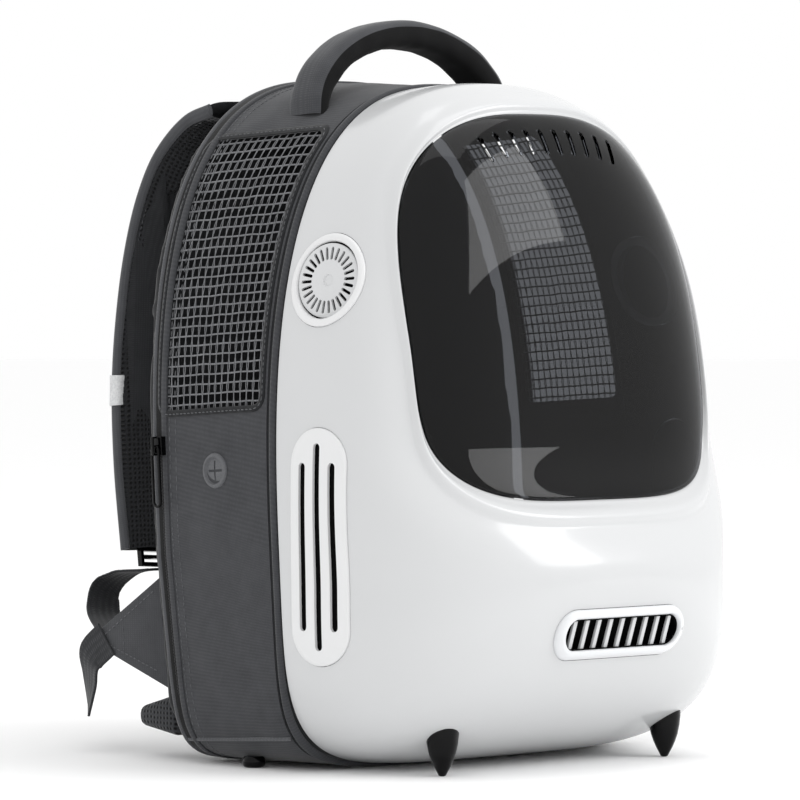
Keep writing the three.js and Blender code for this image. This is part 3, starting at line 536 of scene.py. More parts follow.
# %% [markdown]
# ## The shell's surface
#
# The shell swells forward from the seam. Below it is deep and round; in the zone of the window it is
# shallower and squarer, so that the window looks ahead. The surface is one rule, a depth for each x
# and z, and everything that sits on the shell asks it where it is.

# %% Surface of the front shell
SHELL_DEPTH = 143
SIDE_FULLNESS = 2.53
LOWER_FULLNESS = 2.32
ZONE_DEPTH = 106
ZONE_FULLNESS = 4
ZONE_BOTTOM = 110
ZONE_TOP = 205
SHELL_WALL = 3
WINDOW_OUTLINE = (126, 265.5, 407, 162, 2.75, 3.95)
RIM_WIDTH = 18
RIM_RISE = 4


def shell_surface(x, z, grow=0):
    """The y of the shell at an x and z, with the shell grown by a margin."""
    middle, bottom, bottom_power = seam_outline[1], seam_outline[3], seam_outline[5]
    share = min(1, outline_share(seam_outline, x, z, grow))
    down = max(0, middle - z) / (middle - bottom + grow) / max(share, 1e-6)
    fullness = mix(SIDE_FULLNESS, LOWER_FULLNESS, min(1, down) ** (bottom_power / 2))
    in_zone = smooth_share(z, ZONE_BOTTOM, ZONE_TOP)
    power = mix(fullness, ZONE_FULLNESS, in_zone)
    return -(mix(SHELL_DEPTH, ZONE_DEPTH, in_zone) + grow) * (1 - share ** power) ** (1 / power)


def shell_hit(origin, direction, grow=0):
    """Where a line that starts inside the shell comes out through it."""
    inner, outer = 0, 140
    for _ in range(22):
        middle = (inner + outer) / 2
        point = origin + direction * middle
        if point.y > shell_surface(point.x, point.z, grow):
            inner = middle
        else:
            outer = middle
    return origin + direction * inner


def cheek_point(y, z, grow=0):
    """The point of the shell's left cheek at a y and z."""
    return shell_hit(Vector((-60, y, z)), Vector((-1, 0, 0)), grow)


# %% [markdown]
# ## Flat outlines
#
# Vents, slots and tapes have rounded ends. Such an outline is a core, a rectangle or a line, with a
# margin all round: a point of it is a point of the core plus the margin along a direction. Insetting
# the outline only shortens the margin, so a plate's rings nest without crossing.

# %% Rounded outlines


def rounded(width, height, radius, share):
    """Core point and outward direction of a rounded rectangle, at a share of the way round it."""
    half_width = width / 2 - radius
    half_height = height / 2 - radius
    arc = math.pi * radius / 2
    legs = [half_height, arc, 2 * half_width, arc, 2 * half_height, arc, 2 * half_width, arc, half_height]
    corners = [(1, 1), (-1, 1), (-1, -1), (1, -1), (1, 1)]
    sides = [(1, 0), (0, 1), (-1, 0), (0, -1), (1, 0)]
    starts = [(half_width, 0), (half_width, half_height), (-half_width, half_height),
              (-half_width, -half_height), (half_width, -half_height)]
    left = share * sum(legs)
    for step, leg in enumerate(legs):
        if left <= leg or step == len(legs) - 1:
            break
        left -= leg
    if step % 2 == 0:
        out = Vector(sides[step // 2])
        return Vector(starts[step // 2]) + Vector((-out.y, out.x)) * left, out
    turn = math.pi / 2 * (step // 2 + left / max(leg, 1e-9))
    side_x, side_y = corners[step // 2]
    return Vector((side_x * half_width, side_y * half_height)), Vector((math.cos(turn), math.sin(turn)))


def rounded_point(width, height, radius, share, inset=0, centre=(0, 0), turn=0):
    """A point of a rounded rectangle with a margin taken off, turned about its centre and moved."""
    core, out = rounded(width, height, radius, share)
    point = Matrix.Rotation(turn, 2) @ (core + out * (radius - inset))
    return point + Vector(centre)


def prism(bm, outline, low, high, to_place, sides=48):
    """A closed prism of a flat outline, between two distances along its own direction."""
    part = start_mesh()
    sweep(part, sides, 1, lambda u, v: to_place(outline(u), mix(low, high, v)))
    close_ends(part)
    mesh = bpy.data.meshes.new("part")
    part.to_mesh(mesh)
    part.free()
    bm.from_mesh(mesh)
    bpy.data.meshes.remove(mesh)


# %% [markdown]
# ## The front shell
#
# The shell is one moulding with a window in it, a soft raised rim round the window, and openings for
# the vents. It could be sculpted, but its surface is already a rule, so two grids are laid over it:
# one outside, one 3 millimetres in. A ring at the window and another at the seam join them. The
# openings are then cut with prisms, as a mould's cores would leave them.

# %% Moulded shell with its openings
ROUND_ABOUT = 288
RIM_RINGS = 18
WALL_RINGS = 86


def rim_height(share):
    """How far the rim stands proud, at a share of its width."""
    return RIM_RISE * math.sin(math.pi * share) ** 2


def shell_point(u, ring, grow):
    """A point of the shell: rings 0 to RIM_RINGS cross the rim, and the rest go on to the seam."""
    edge_x, edge_z = outline_point(WINDOW_OUTLINE, u)
    seam_x, seam_z = outline_point(seam_outline, u, grow)
    rim = min(0.6, RIM_WIDTH / math.hypot(seam_x - edge_x, seam_z - edge_z))
    if ring <= RIM_RINGS:
        share = rim * ring / RIM_RINGS
        rise = rim_height(ring / RIM_RINGS)
    else:
        share = mix(rim, 1, 1 - (1 - (ring - RIM_RINGS) / WALL_RINGS) ** 3)
        rise = 0
    x, z = mix(edge_x, seam_x, share), mix(edge_z, seam_z, share)
    if ring == RIM_RINGS + WALL_RINGS:
        return Vector((x, 0, z))
    return Vector((x, shell_surface(x, z, grow) - rise, z))


def shell_wall(u, v):
    """Outer wall from the window to the seam, then back along the inner wall."""
    rings = RIM_RINGS + WALL_RINGS
    step = round(v * (2 * rings + 1))
    if step <= rings:
        return at(*shell_point(u, step, 0))
    return at(*shell_point(u, 2 * rings + 1 - step, -SHELL_WALL))


shell_mesh = start_mesh()
sweep(shell_mesh, ROUND_ABOUT, 2 * (RIM_RINGS + WALL_RINGS) + 1, shell_wall, lined=True)
merge(shell_mesh)
open_edges = [edge for edge in shell_mesh.edges if edge.is_boundary]
bmesh.ops.bridge_loops(shell_mesh, edges=open_edges)
# The inner face takes the near-black painted shade, for the shaded inside of the white shell
front_shell = to_object("moulded_front_shell", shell_mesh, (shell_abs, painted_shade_abs), 40)

# %% [markdown]
# The vents' places and sizes are shared by the cuts and by what sits in them.

# %% Vent sizes and the cuts for them
VENT_SETBACK = 35
ROUND_VENT_HEIGHT = 305
ROUND_VENT_RADIUS = 30
ROUND_VENT_TURN = math.radians(81)
ROUND_VENT_TILT = math.radians(10)
SIDE_VENT_HEIGHT = 140
SIDE_VENT_WIDTH = 46
SIDE_VENT_LENGTH = 147
SIDE_VENT_LEAN = math.radians(2.7)
FRONT_VENT_HEIGHT = 79
FRONT_VENT_WIDTH = 111
FRONT_VENT_TALL = 31
FRONT_VENT_RING = 6.5
FIT = 0.3

round_vent_middle = cheek_point(-VENT_SETBACK, ROUND_VENT_HEIGHT)
round_vent_out = Vector((
    -math.sin(ROUND_VENT_TURN) * math.cos(ROUND_VENT_TILT),
    -math.cos(ROUND_VENT_TURN) * math.cos(ROUND_VENT_TILT),
    math.sin(ROUND_VENT_TILT),
))
round_vent_level = Vector((0, 0, 1)).cross(round_vent_out).normalized()
round_vent_up = round_vent_out.cross(round_vent_level)


def on_round_vent(radius, turn, out):
    """A point of the left round vent: round its axis, and out along it."""
    level = math.cos(turn) * radius
    up = math.sin(turn) * radius
    return round_vent_middle + round_vent_level * level + round_vent_up * up + round_vent_out * out


def flipped(point, side):
    """A point of the upright bag's left side, or its mirror image on the right."""
    return Vector((-point.x, point.y, point.z)) if side == "right" else point


def mirrored(point, side):
    """The same, in its place in the frame."""
    return at(*flipped(point, side))


def side_vent_outline(u, inset=0):
    return rounded_point(SIDE_VENT_WIDTH, SIDE_VENT_LENGTH, SIDE_VENT_WIDTH / 2, u, inset,
                         (-VENT_SETBACK, SIDE_VENT_HEIGHT), SIDE_VENT_LEAN)


def front_vent_outline(u, inset=0):
    return rounded_point(FRONT_VENT_WIDTH, FRONT_VENT_TALL, FRONT_VENT_TALL / 2, u, inset,
                         (0, FRONT_VENT_HEIGHT))


SIDES = ("left", "right")
for side in SIDES:
    round_cut = start_mesh()
    prism(round_cut, lambda u: u * 2 * math.pi, -20, 12,
          lambda turn, out: mirrored(on_round_vent(ROUND_VENT_RADIUS + FIT, turn, out), side), 64)
    cut(front_shell, round_cut, 40)
    side_cut = start_mesh()
    prism(side_cut, lambda u: side_vent_outline(u, -FIT), -80, -180,
          lambda point, x: mirrored(Vector((x, point.x, point.y)), side), 96)
    cut(front_shell, side_cut, 40)
front_cut = start_mesh()
prism(front_cut, lambda u: front_vent_outline(u, -FIT), -70, -180,
      lambda point, y: at(point.x, y, point.y), 96)
cut(front_shell, front_cut, 40)
join_in(front_shell, ["front_shell"])

# %% [markdown]
# ## The dome
#
# The dome drops into the window and swells a little past the rim. Ten slots near its top let air in.
# They fan out like a smile upside down. It is a closed shell 2 millimetres thick, so light bends on
# its way in and out as it does in the real one.

# %% Clear dome with air slots
DOME_BULGE = 6
DOME_FULLNESS = 3
DOME_WALL = 2
SLOT_COUNT = 10
SLOT_PITCH = 12.1
SLOT_WIDTH = 3.6
SLOT_LENGTH = 17
SLOT_INSET = 19
SLOT_FAN = 0.5
DOME_RINGS = 64


def dome_point(u, step, inset):
    """A point of the dome: step 0 is its edge and step 1 its middle."""
    half_width, middle = WINDOW_OUTLINE[0], WINDOW_OUTLINE[1]
    edge = Vector(outline_point(WINDOW_OUTLINE, u, -FIT - inset / 2))
    x, z = edge.lerp(Vector((0, middle)), step)
    swell = (1 - (1 - step) ** DOME_FULLNESS) ** (1 / DOME_FULLNESS)
    return Vector((x, shell_surface(x, z) - DOME_BULGE * swell + inset, z))


def dome_wall(u, v):
    """From the outer middle out to the edge, and back along the inner face to the middle."""
    side_share = abs(2 * v - 1)
    return at(*dome_point(u, side_share ** 1.6, 0 if v < 0.5 else DOME_WALL))


dome_mesh = start_mesh()
sweep(dome_mesh, 192, 2 * DOME_RINGS + 1, dome_wall)
dome = to_object("smoked_dome", dome_mesh, (smoked_dome,), 40)
for slot in range(SLOT_COUNT):
    x = (slot - (SLOT_COUNT - 1) / 2) * SLOT_PITCH
    half_width, middle, top, _, top_power, _ = WINDOW_OUTLINE
    edge = middle + (top - middle) * (1 - (abs(x) / half_width) ** top_power) ** (1 / top_power)
    slot_cut = start_mesh()
    prism(slot_cut, lambda u: rounded_point(SLOT_WIDTH, SLOT_LENGTH, SLOT_WIDTH / 2, u, 0,
                                            (x, edge - SLOT_INSET), -x / half_width * SLOT_FAN),
          -20, -180, lambda point, y: at(point.x, y, point.y), 24)
    cut(dome, slot_cut, 40)
join_in(dome, ["dome_window"])

# %% [markdown]
# ## Side vents
#
# Each cheek has a tall white plate with three dark slots, the middle one longer. The plate follows
# the cheek, 1.4 millimetres proud, with a soft edge. It is laid on the shell ring by ring, from its
# rim to its middle line, and its back lies just under the shell's face. A near-black sheet of painted shade
# closes the slots.

# %% Tall vent plates with three slots
PLATE_RISE = 1.4
SIDE_SLOT_WIDTH = 5.6
SIDE_SLOT_PITCH = 12.5
SIDE_SLOT_LENGTHS = (104, 128, 104)
SHADE_SHEET_FRONT = -0.7
SHADE_SHEET_BACK = -3.4
PLATE_BACK = -0.4
FLAT_STEPS = 4
# Rings of the plate's outer face, as an inset from its edge and a rise over the shell
PLATE_RINGS = ((0, PLATE_BACK), (0, 0.7), (0.25, 1.15), (0.7, PLATE_RISE), (3, PLATE_RISE), (6, PLATE_RISE),
               (9, PLATE_RISE), (12, PLATE_RISE), (15, PLATE_RISE), (18, PLATE_RISE), (21, PLATE_RISE),
               (SIDE_VENT_WIDTH / 2, PLATE_RISE))


def lay_rings(bm, around, rings, to_place, material=0):
    """Sweeps round an outline through rings of an inset and a rise."""
    last = len(rings) - 1
    sweep(bm, around, last, lambda u, v: to_place(u, *rings[round(v * last)]), material=material)


def flat_rings(start, end, rise):
    """Rings at one rise, from an inset to another."""
    return [(mix(start, end, step / FLAT_STEPS), rise) for step in range(FLAT_STEPS + 1)]


def lay_plate(bm, around, rings, to_place):
    """Lays a plate of an outer face and a flat back, which both close on the outline's middle line."""
    lay_rings(bm, around, rings, to_place)
    lay_rings(bm, around, flat_rings(rings[0][0], rings[-1][0], rings[0][1]), to_place)


def on_cheek(u, inset, rise, side):
    point = side_vent_outline(u, inset)
    return mirrored(cheek_point(point.x, point.y, rise), side)


for side in SIDES:
    plate_mesh = start_mesh()
    lay_plate(plate_mesh, 144, PLATE_RINGS, lambda u, inset, rise: on_cheek(u, inset, rise, side))
    # The plate's second material is the near-black painted shade
    plate = to_object("side_vent_plate_" + side, plate_mesh, (plate_abs, painted_shade_abs), 30)
    for column, length in enumerate(SIDE_SLOT_LENGTHS):
        offset = (column - 1) * SIDE_SLOT_PITCH
        centre = (offset * math.cos(SIDE_VENT_LEAN) - VENT_SETBACK,
                  SIDE_VENT_HEIGHT + offset * math.sin(SIDE_VENT_LEAN))
        slot_cut = start_mesh()
        prism(slot_cut, lambda u: rounded_point(SIDE_SLOT_WIDTH, length, SIDE_SLOT_WIDTH / 2, u, 0, centre,
                                                SIDE_VENT_LEAN),
              -80, -180, lambda point, x: mirrored(Vector((x, point.x, point.y)), side), 200)
        cut(plate, slot_cut, 30)
    join_in(plate, ["side_vent_" + side])
    # A near-black sheet behind the slots: painted shade for the inside of the bag
    shade_sheet_mesh = start_mesh()
    shade_sheet_rings = [(1, SHADE_SHEET_BACK), *flat_rings(1, SIDE_VENT_WIDTH / 2, SHADE_SHEET_FRONT)]
    lay_plate(shade_sheet_mesh, 96, shade_sheet_rings, lambda u, inset, rise: on_cheek(u, inset, rise, side))
    join_in(to_object("side_vent_shade_sheet_" + side, shade_sheet_mesh, (painted_shade_abs,)), [])

# %% [markdown]
# ## Round vents
#
# A white ring sits on each cheek, and in it lies a pale disc with a ring of dark slots, like the rays
# of a sun. The ring follows the cheek, as the plates do. The disc is turned, and all its slots are cut
# in one go, so that they are real openings. A near-black sheet of painted shade behind it closes them.

# %% Ring, slotted disc and painted shade sheet
RAY_COUNT = 26
RAY_MIDDLE = 17
RAY_LENGTH = 8.2
RAY_WIDTH = 2
DISC_PROFILE = ((0, -3.1), (3.4, -3), (3.9, -2.2), (4.6, -2.1), (10.5, -2), (22.2, -2), (23.4, -2.5),
                (23.6, -3.1), (23.6, -3.8), (0, -3.8))
SHADE_SHEET_PROFILE = ((0, -4), (24.6, -4), (24.6, -5.6), (0, -5.6))
RING_RINGS = ((0, -3), (0, 0.5), (0.3, 1.1), (0.9, 1.5), (2, 1.7), (3.6, 1.5), (4.6, 0.8), (5.3, -0.5),
              (5.5, -2), (5.5, -6.5), (3, -6.5), (0, -6.5), (0, -3))


def on_round_ring(turn, inset, rise, side):
    start = on_round_vent(ROUND_VENT_RADIUS - inset, turn, -60)
    return mirrored(shell_hit(start, round_vent_out, rise), side)


def turned_disc(profile, side):
    """A disc on the round vent's axis, from a profile of radii and rises."""
    bm = start_mesh()
    last = len(profile) - 1
    sweep(bm, 96, last, lambda u, v: mirrored(
        on_round_vent(profile[round(v * last)][0], u * 2 * math.pi, profile[round(v * last)][1]), side))
    return bm


for side in SIDES:
    ring_mesh = start_mesh()
    lay_rings(ring_mesh, 96, RING_RINGS,
              lambda u, inset, rise: on_round_ring(u * 2 * math.pi, inset, rise, side))
    ring = to_object("round_vent_ring_" + side, ring_mesh, (plate_abs,))
    join_in(ring, ["round_vent_bezel_" + side])

    grille = to_object("round_vent_disc_" + side, turned_disc(DISC_PROFILE, side), (grille_abs,), 30)
    rays = start_mesh()
    for ray in range(RAY_COUNT):
        def ray_point(point, out, turn=2 * math.pi * ray / RAY_COUNT):
            return mirrored(on_round_vent(point.y, turn + point.x / point.y, out), side)

        prism(rays, lambda u: rounded_point(RAY_WIDTH, RAY_LENGTH, RAY_WIDTH / 2, u, 0, (0, RAY_MIDDLE)),
              -8, 2, ray_point)
    cut(grille, rays, 30)
    join_in(grille, ["round_vent_grille_" + side])
    # A near-black disc behind the rays: painted shade for the inside of the bag
    shade_sheet = to_object("round_vent_shade_sheet_" + side, turned_disc(SHADE_SHEET_PROFILE, side), (painted_shade_abs,), 30)
    join_in(shade_sheet, [])

# %% [markdown]
# ## Front vent
#
# Below the window is an oblong vent: a bright bezel that stands proud like a long ring, and upright
# blades over a tray. The tray and the well round the blades are painted near-black, as shade inside the vent.
# The blades are thin boxes, a little leant. A small lamp sits in the bezel.

# %% Bezel, blades, tray and lamp
BLADE_COUNT = 9
BLADE_PITCH = 10.3
BLADE_WIDTH = 3
BLADE_LEAN = 0.7
BLADE_FRONT = 1.2
BLADE_BACK = -0.8
BEZEL_RINGS = ((0, -4), (0, 0.8), (0.4, 2), (1.3, 3.4), (2.6, 4.3), (4, 4.6), (5.1, 4.3), (5.8, 3.4), (6, 2),
               (6, -6), (3, -6), (0, -6), (0, -4))
TRAY_FRONT = -8.2
TRAY_BACK = -9.6
WELL_RINGS = ((6.1, 2), (6.8, 1.8), (6.8, -8.1), (6.1, -8.1), (6.1, 2))


def on_front(point, rise):
    return at(point.x, shell_surface(point.x, point.y, rise), point.y)


bezel_mesh = start_mesh()
lay_rings(bezel_mesh, 160, BEZEL_RINGS, lambda u, inset, rise: on_front(front_vent_outline(u, inset), rise))
join_in(to_object("front_vent_ring", bezel_mesh, (bezel_abs,)), ["front_vent_bezel"])

# The tray is painted near-black, as shade inside the vent
tray_mesh = start_mesh()
tray_rings = [(5.5, TRAY_BACK), *flat_rings(5.5, FRONT_VENT_TALL / 2, TRAY_FRONT)]
lay_plate(tray_mesh, 96, tray_rings, lambda u, inset, rise: on_front(front_vent_outline(u, inset), rise))
join_in(to_object("front_vent_back", tray_mesh, (painted_shade_abs,)), ["front_vent_tray"])

# The well walls round the blades take the near-black painted shade
blade_mesh = start_mesh()
lay_rings(blade_mesh, 96, WELL_RINGS, lambda u, inset, rise: on_front(front_vent_outline(u, inset), rise),
          material=1)
half_opening = FRONT_VENT_WIDTH / 2 - FRONT_VENT_RING
opening_tall = FRONT_VENT_TALL - 2 * FRONT_VENT_RING
for blade in range(BLADE_COUNT):
    offset = (blade - (BLADE_COUNT - 1) / 2) * BLADE_PITCH
    beyond = max(0, abs(offset) + BLADE_LEAN - (half_opening - opening_tall / 2))
    half_tall = math.sqrt(max(1, (opening_tall / 2) ** 2 - beyond ** 2)) - 0.2
    for vertex in bmesh.ops.create_cube(blade_mesh, size=1)["verts"]:
        x = offset + vertex.co.x * BLADE_WIDTH + vertex.co.z * BLADE_LEAN
        z = FRONT_VENT_HEIGHT + vertex.co.z * 2 * half_tall
        depth = mix(BLADE_FRONT, BLADE_BACK, vertex.co.y + 0.5)
        vertex.co = on_front(Vector((x, z)), depth)
blade_edges = [edge for edge in blade_mesh.edges if len(edge.link_faces) == 2 and edge.calc_face_angle() > 1]
bmesh.ops.bevel(blade_mesh, geom=blade_edges, offset=0.35 * MM, segments=2, profile=0.5,
                affect="EDGES", material=-1)
blades = to_object("front_vent_blades", blade_mesh, (grille_abs, painted_shade_abs), 30)
join_in(blades, ["front_vent_louvres"])

LAMP_INSET = 3.3
LAMP_PROFILE = ((0, 4.9), (0.8, 4.8), (1.2, 4.5), (1.2, 3), (0, 3))


def lamp_point(u, v):
    radius, rise = LAMP_PROFILE[round(v * 4)]
    turn = u * 2 * math.pi
    x = FRONT_VENT_WIDTH / 2 - LAMP_INSET + math.cos(turn) * radius
    return on_front(Vector((x, FRONT_VENT_HEIGHT + math.sin(turn) * radius)), rise)


lamp_mesh = start_mesh()
sweep(lamp_mesh, 16, 4, lamp_point)
join_in(to_object("vent_lamp", lamp_mesh, (grille_abs,)), [])

# %% [markdown]
# ## Feet and studs
#
# The shell stands on two glossy black feet like bullets, and the back on two small round studs. Each
# is turned: a profile spun round an upright axis. The shell above hides the top of each foot.

# %% Turned feet
FOOT_SPREAD = 98
FOOT_SETBACK = 72
# Radius and height of the foot's profile in millimetres, from its tip
FOOT_PROFILE = ((0, 0), (1.4, 0), (2.3, 0.5), (3.6, 3), (5.25, 6), (7.1, 10.2), (8.7, 15), (9.8, 20.5),
                (10.5, 26.5), (10.5, 31), (0, 31))
STUD_PROFILE = ((0, 0), (5, 0), (6.3, 0.5), (7, 1.6), (7, 5.5), (6, 7), (0, 7))
SPIN_STEPS = 48


def spin_profile(bm, profile, x, setback):
    """Spins a profile about an upright line on the ground under the leaning bag."""
    axis = Vector((x * MM, setback * MM, 0)) + body_shift
    corners = [bm.verts.new(axis + Vector((radius, 0, height)) * MM) for radius, height in profile]
    edges = [bm.edges.new(pair) for pair in zip(corners, corners[1:])]
    bmesh.ops.spin(bm, geom=corners + edges, cent=axis, axis=(0, 0, 1), angle=2 * math.pi,
                   steps=SPIN_STEPS, use_merge=True)


for side, sign in zip(SIDES, (-1, 1)):
    foot_mesh = start_mesh()
    spin_profile(foot_mesh, FOOT_PROFILE, sign * FOOT_SPREAD, -FOOT_SETBACK)
    foot = to_object("bullet_foot_" + side, foot_mesh, (black_abs,), 50)
    join_in(foot, ["front_foot_" + side])
    stud_mesh = start_mesh()
    spin_profile(stud_mesh, STUD_PROFILE, sign * STUD_SPREAD, STUD_SETBACK)
    stud = to_object("base_stud_" + side, stud_mesh, (black_abs,), 50)
    join_in(stud, ["rear_stud_" + side])

# %% [markdown]
# ## The cloth body
#
# Behind the shell the bag is a band of cloth: sides, top and base in one turn, 2 millimetres thick.
# It could be five flat panels, but sewn cloth keeps no plane: it bows out a little between its seams
# and wrinkles. So it is one swept grid, pushed out by slow noise, and the openings for the netting
# are cut from it. Below the base seam the same band becomes the base panel.

# %% Band and base panel
BAND_START = 9.1
BAND_WALL = 2
BODY_STEPS = 360
BASE_SEAM = 21.5
CLOTH_BOW = 0.9
WRINKLE = 0.55
MESH_FRONT = 14
MESH_REAR = 106
MESH_BOTTOM = 229
MESH_TOP = 404
MESH_CORNER = 7


def cloth_swell(depth, share):
    """How far the cloth stands out at a place of the band: a bow between seams, and wrinkles."""
    if not BAND_START < depth < BAND_DEPTH:
        return 0
    bow = math.sin(math.pi * (depth - BAND_START) / (BAND_DEPTH - BAND_START))
    point = band_point(depth, share)
    long_folds = noise.noise(Vector((point.x * 0.012, point.y * 0.03, point.z * 0.022)))
    short_folds = noise.noise(Vector((point.x * 0.03, point.y * 0.06, point.z * 0.07 + 5)))
    return bow * (CLOTH_BOW + WRINKLE * (2 * long_folds + short_folds))


def band_wall(u, v):
    """Outer face of the band from front to back, then its inner face back to the front."""
    if v < 0.5:
        depth = mix(BAND_START, BAND_DEPTH, min(1, v / 0.48))
        return at(*band_point(depth, u, cloth_swell(depth, u)))
    return at(*band_point(mix(BAND_DEPTH, BAND_START, min(1, (v - 0.5) / 0.48)), u, -BAND_WALL))


def side_point(depth, z, grow=0):
    """A point of the left side of the cloth, at a depth and a height."""
    half_width, middle, top, bottom, top_power, bottom_power = outline_at(depth)
    power = bottom_power if z < middle else top_power
    height = middle - bottom if z < middle else top - middle
    up = min(1, abs(z - middle) / (height + grow))
    low = max(0, 1 - z / FRONT_MIDDLE)
    y = depth - REAR_TUCK * low * depth / BAND_DEPTH
    return Vector((-(half_width + grow) * (1 - up ** power) ** (1 / power), y, z))


def make_band(name, keep_above, materials):
    """The part of the swept band above or below the base seam."""
    bm = start_mesh()
    sweep(bm, BODY_STEPS, 50, band_wall, (OUTLINE_LENGTH, 2 * BAND_DEPTH), lined=True)
    merge(bm)
    open_edges = [edge for edge in bm.edges if edge.is_boundary]
    bmesh.ops.bridge_loops(bm, edges=open_edges)
    up = (at(0, 0, 1) - at(0, 0, 0)).normalized()
    gap = FIT / 2 if keep_above else -FIT / 2
    everything = bm.verts[:] + bm.edges[:] + bm.faces[:]
    bmesh.ops.bisect_plane(bm, geom=everything, plane_co=at(0, 0, BASE_SEAM + gap), plane_no=up,
                           clear_inner=keep_above, clear_outer=not keep_above)
    close_ends(bm)
    return to_object(name, bm, materials, 50)


band = make_band("cloth_band", True, (body_twill, lining_cloth))
for side in SIDES:
    opening = start_mesh()
    prism(opening, lambda u: rounded_point(MESH_REAR - MESH_FRONT, MESH_TOP - MESH_BOTTOM, MESH_CORNER, u, 0,
                                           ((MESH_FRONT + MESH_REAR) / 2, (MESH_TOP + MESH_BOTTOM) / 2)),
          -40, -220, lambda point, x: mirrored(Vector((x, point.x, point.y)), side), 64)
    cut(band, opening, 50)
join_in(band, ["bag_band"])
base = make_band("cloth_base", False, (body_twill, lining_cloth))
join_in(base, ["base_panel"])

# %% [markdown]
# ## Tape, piping and zip tape
#
# A dark tape with a roll of cloth on it binds the seam between shell and cloth; its near-black also
# stands in for the shadow in the grooves either side of the roll. A covered cord pipes the rear edge,
# and the black tape of the zip runs round just in front of it, half under a flap. Each is one closed
# section swept round the outline.

# %% Binding, piping and zip tape
BINDING_RINGS = ((-1.5, -1.9), (-1.5, -0.7), (10.5, -0.7), (10.5, -1.9), (-1.5, -1.9))
ROLL_CENTRE = 3.7
ROLL_RADIUS = 2.4
ROLL_FLATNESS = 0.75
ZIP_FLAP_RINGS = ((100.4, -0.4), (100.6, 0.8), (102, 1.3), (104.2, 1.3), (105.2, 0.9),
                  (105.3, -0.4), (100.4, -0.4))
ZIP_TAPE_RINGS = ((105.2, -0.4), (105.2, 0.5), (110.4, 0.5), (110.4, -0.4), (105.2, -0.4))
PIPING_CENTRE = 112.3
PIPING_RADIUS = 1.7


def sweep_round(bm, rings):
    """Sweeps a closed section, of depths and rises, round the body's outline."""
    last = len(rings) - 1

    def place(u, v):
        depth, rise = rings[round(v * last)]
        return at(*band_point(depth, u, rise + (cloth_swell(depth, u) if depth < BAND_DEPTH else 0)))

    sweep(bm, BODY_STEPS, last, place, (OUTLINE_LENGTH, 3 * last))


# The tape under the roll: its near-black is partly painted shadow in the grooves
binding_mesh = start_mesh()
sweep_round(binding_mesh, BINDING_RINGS)
join_in(to_object("seam_binding", binding_mesh, (dark_tape_and_groove_shade,), 50), ["front_binding"])

roll_turns = [2 * math.pi * step / 12 for step in range(13)]
roll_rings = [(ROLL_CENTRE + ROLL_RADIUS * math.cos(turn), ROLL_FLATNESS * ROLL_RADIUS * math.sin(turn))
              for turn in roll_turns]
roll_mesh = start_mesh()
sweep_round(roll_mesh, roll_rings)
join_in(to_object("seam_roll", roll_mesh, (body_twill,)), [])

zip_flap_mesh = start_mesh()
sweep_round(zip_flap_mesh, ZIP_FLAP_RINGS)
join_in(to_object("zip_flap", zip_flap_mesh, (body_twill,), 60), [])

zip_tape_mesh = start_mesh()
sweep_round(zip_tape_mesh, ZIP_TAPE_RINGS)
join_in(to_object("zip_tape", zip_tape_mesh, (zip_nylon,), 60), [])

piping_rings = [(PIPING_CENTRE + PIPING_RADIUS * math.cos(turn), PIPING_RADIUS * math.sin(turn) - 0.4)
                for turn in roll_turns]
piping_mesh = start_mesh()
sweep_round(piping_mesh, piping_rings)
join_in(to_object("covered_rear_piping", piping_mesh, (piping_cord,)), ["rear_piping"])

# %% [markdown]
# ## Stitching
#
# A stitch is a short thread that dips into the cloth at both ends. It is made as a spindle of six
# sides, and laid end to end along any line. Two rows run round the body in front of the zip.

# %% Rows of stitches
STITCH_PITCH = 4.4
STITCH_SHARE = 0.68
STITCH_RADIUS = 0.42
SEAM_ROWS = (98.4, 92.6)


def sew(bm, path, length, material=0, pitch=STITCH_PITCH, radius=STITCH_RADIUS):
    """Lays stitches along a path, a rule that gives a point of the upright bag for each share."""
    count = max(1, round(length / pitch))
    for stitch in range(count):
        start, end = path(stitch / count), path((stitch + STITCH_SHARE) / count)
        along = (end - start).normalized()
        aside = along.orthogonal().normalized()
        third = along.cross(aside)

        def place(u, v, start=start, end=end, aside=aside, third=third):
            around = 2 * math.pi * u
            reach = radius * math.sin(math.pi * mix(0.08, 0.92, v))
            return at(*(start.lerp(end, v) + (aside * math.cos(around) + third * math.sin(around)) * reach))

        sweep(bm, 6, 3, place, (6 * radius, pitch), material)


seam_mesh = start_mesh()
for depth in SEAM_ROWS:
    sew(seam_mesh, lambda share: band_point(depth, share, cloth_swell(depth, share) + 0.15), OUTLINE_LENGTH)
close_ends(seam_mesh)
join_in(to_object("body_stitching", seam_mesh, (sewing_thread,)), [])

# %% [markdown]
# The base seam is a welt: a thin roll of cloth that runs along the side at the height where the base
# begins.

# %% Base welts
WELT_RADIUS = 1.3


def tube(bm, path, radius, along, length, sides=10):
    """A round tube along a path of the upright bag, with its ends closed later."""
    def place(u, v):
        here = path(v)
        way = (path(min(1, v + 0.002)) - path(max(0, v - 0.002))).normalized()
        aside = way.cross(Vector((0, 0, 1)) if abs(way.z) < 0.9 else Vector((1, 0, 0))).normalized()
        third = way.cross(aside)
        around = 2 * math.pi * u
        return at(*(here + (aside * math.cos(around) + third * math.sin(around)) * radius))

    sweep(bm, sides, along, place, (2 * math.pi * radius, length))


welt_mesh = start_mesh()
for side in SIDES:
    def welt(share):
        return flipped(side_point(mix(BAND_START, BAND_DEPTH, share), BASE_SEAM, 0.3), side)

    tube(welt_mesh, welt, WELT_RADIUS, 40, BAND_DEPTH)
close_ends(welt_mesh)
join_in(to_object("base_welts", welt_mesh, (piping_cord,)), [])

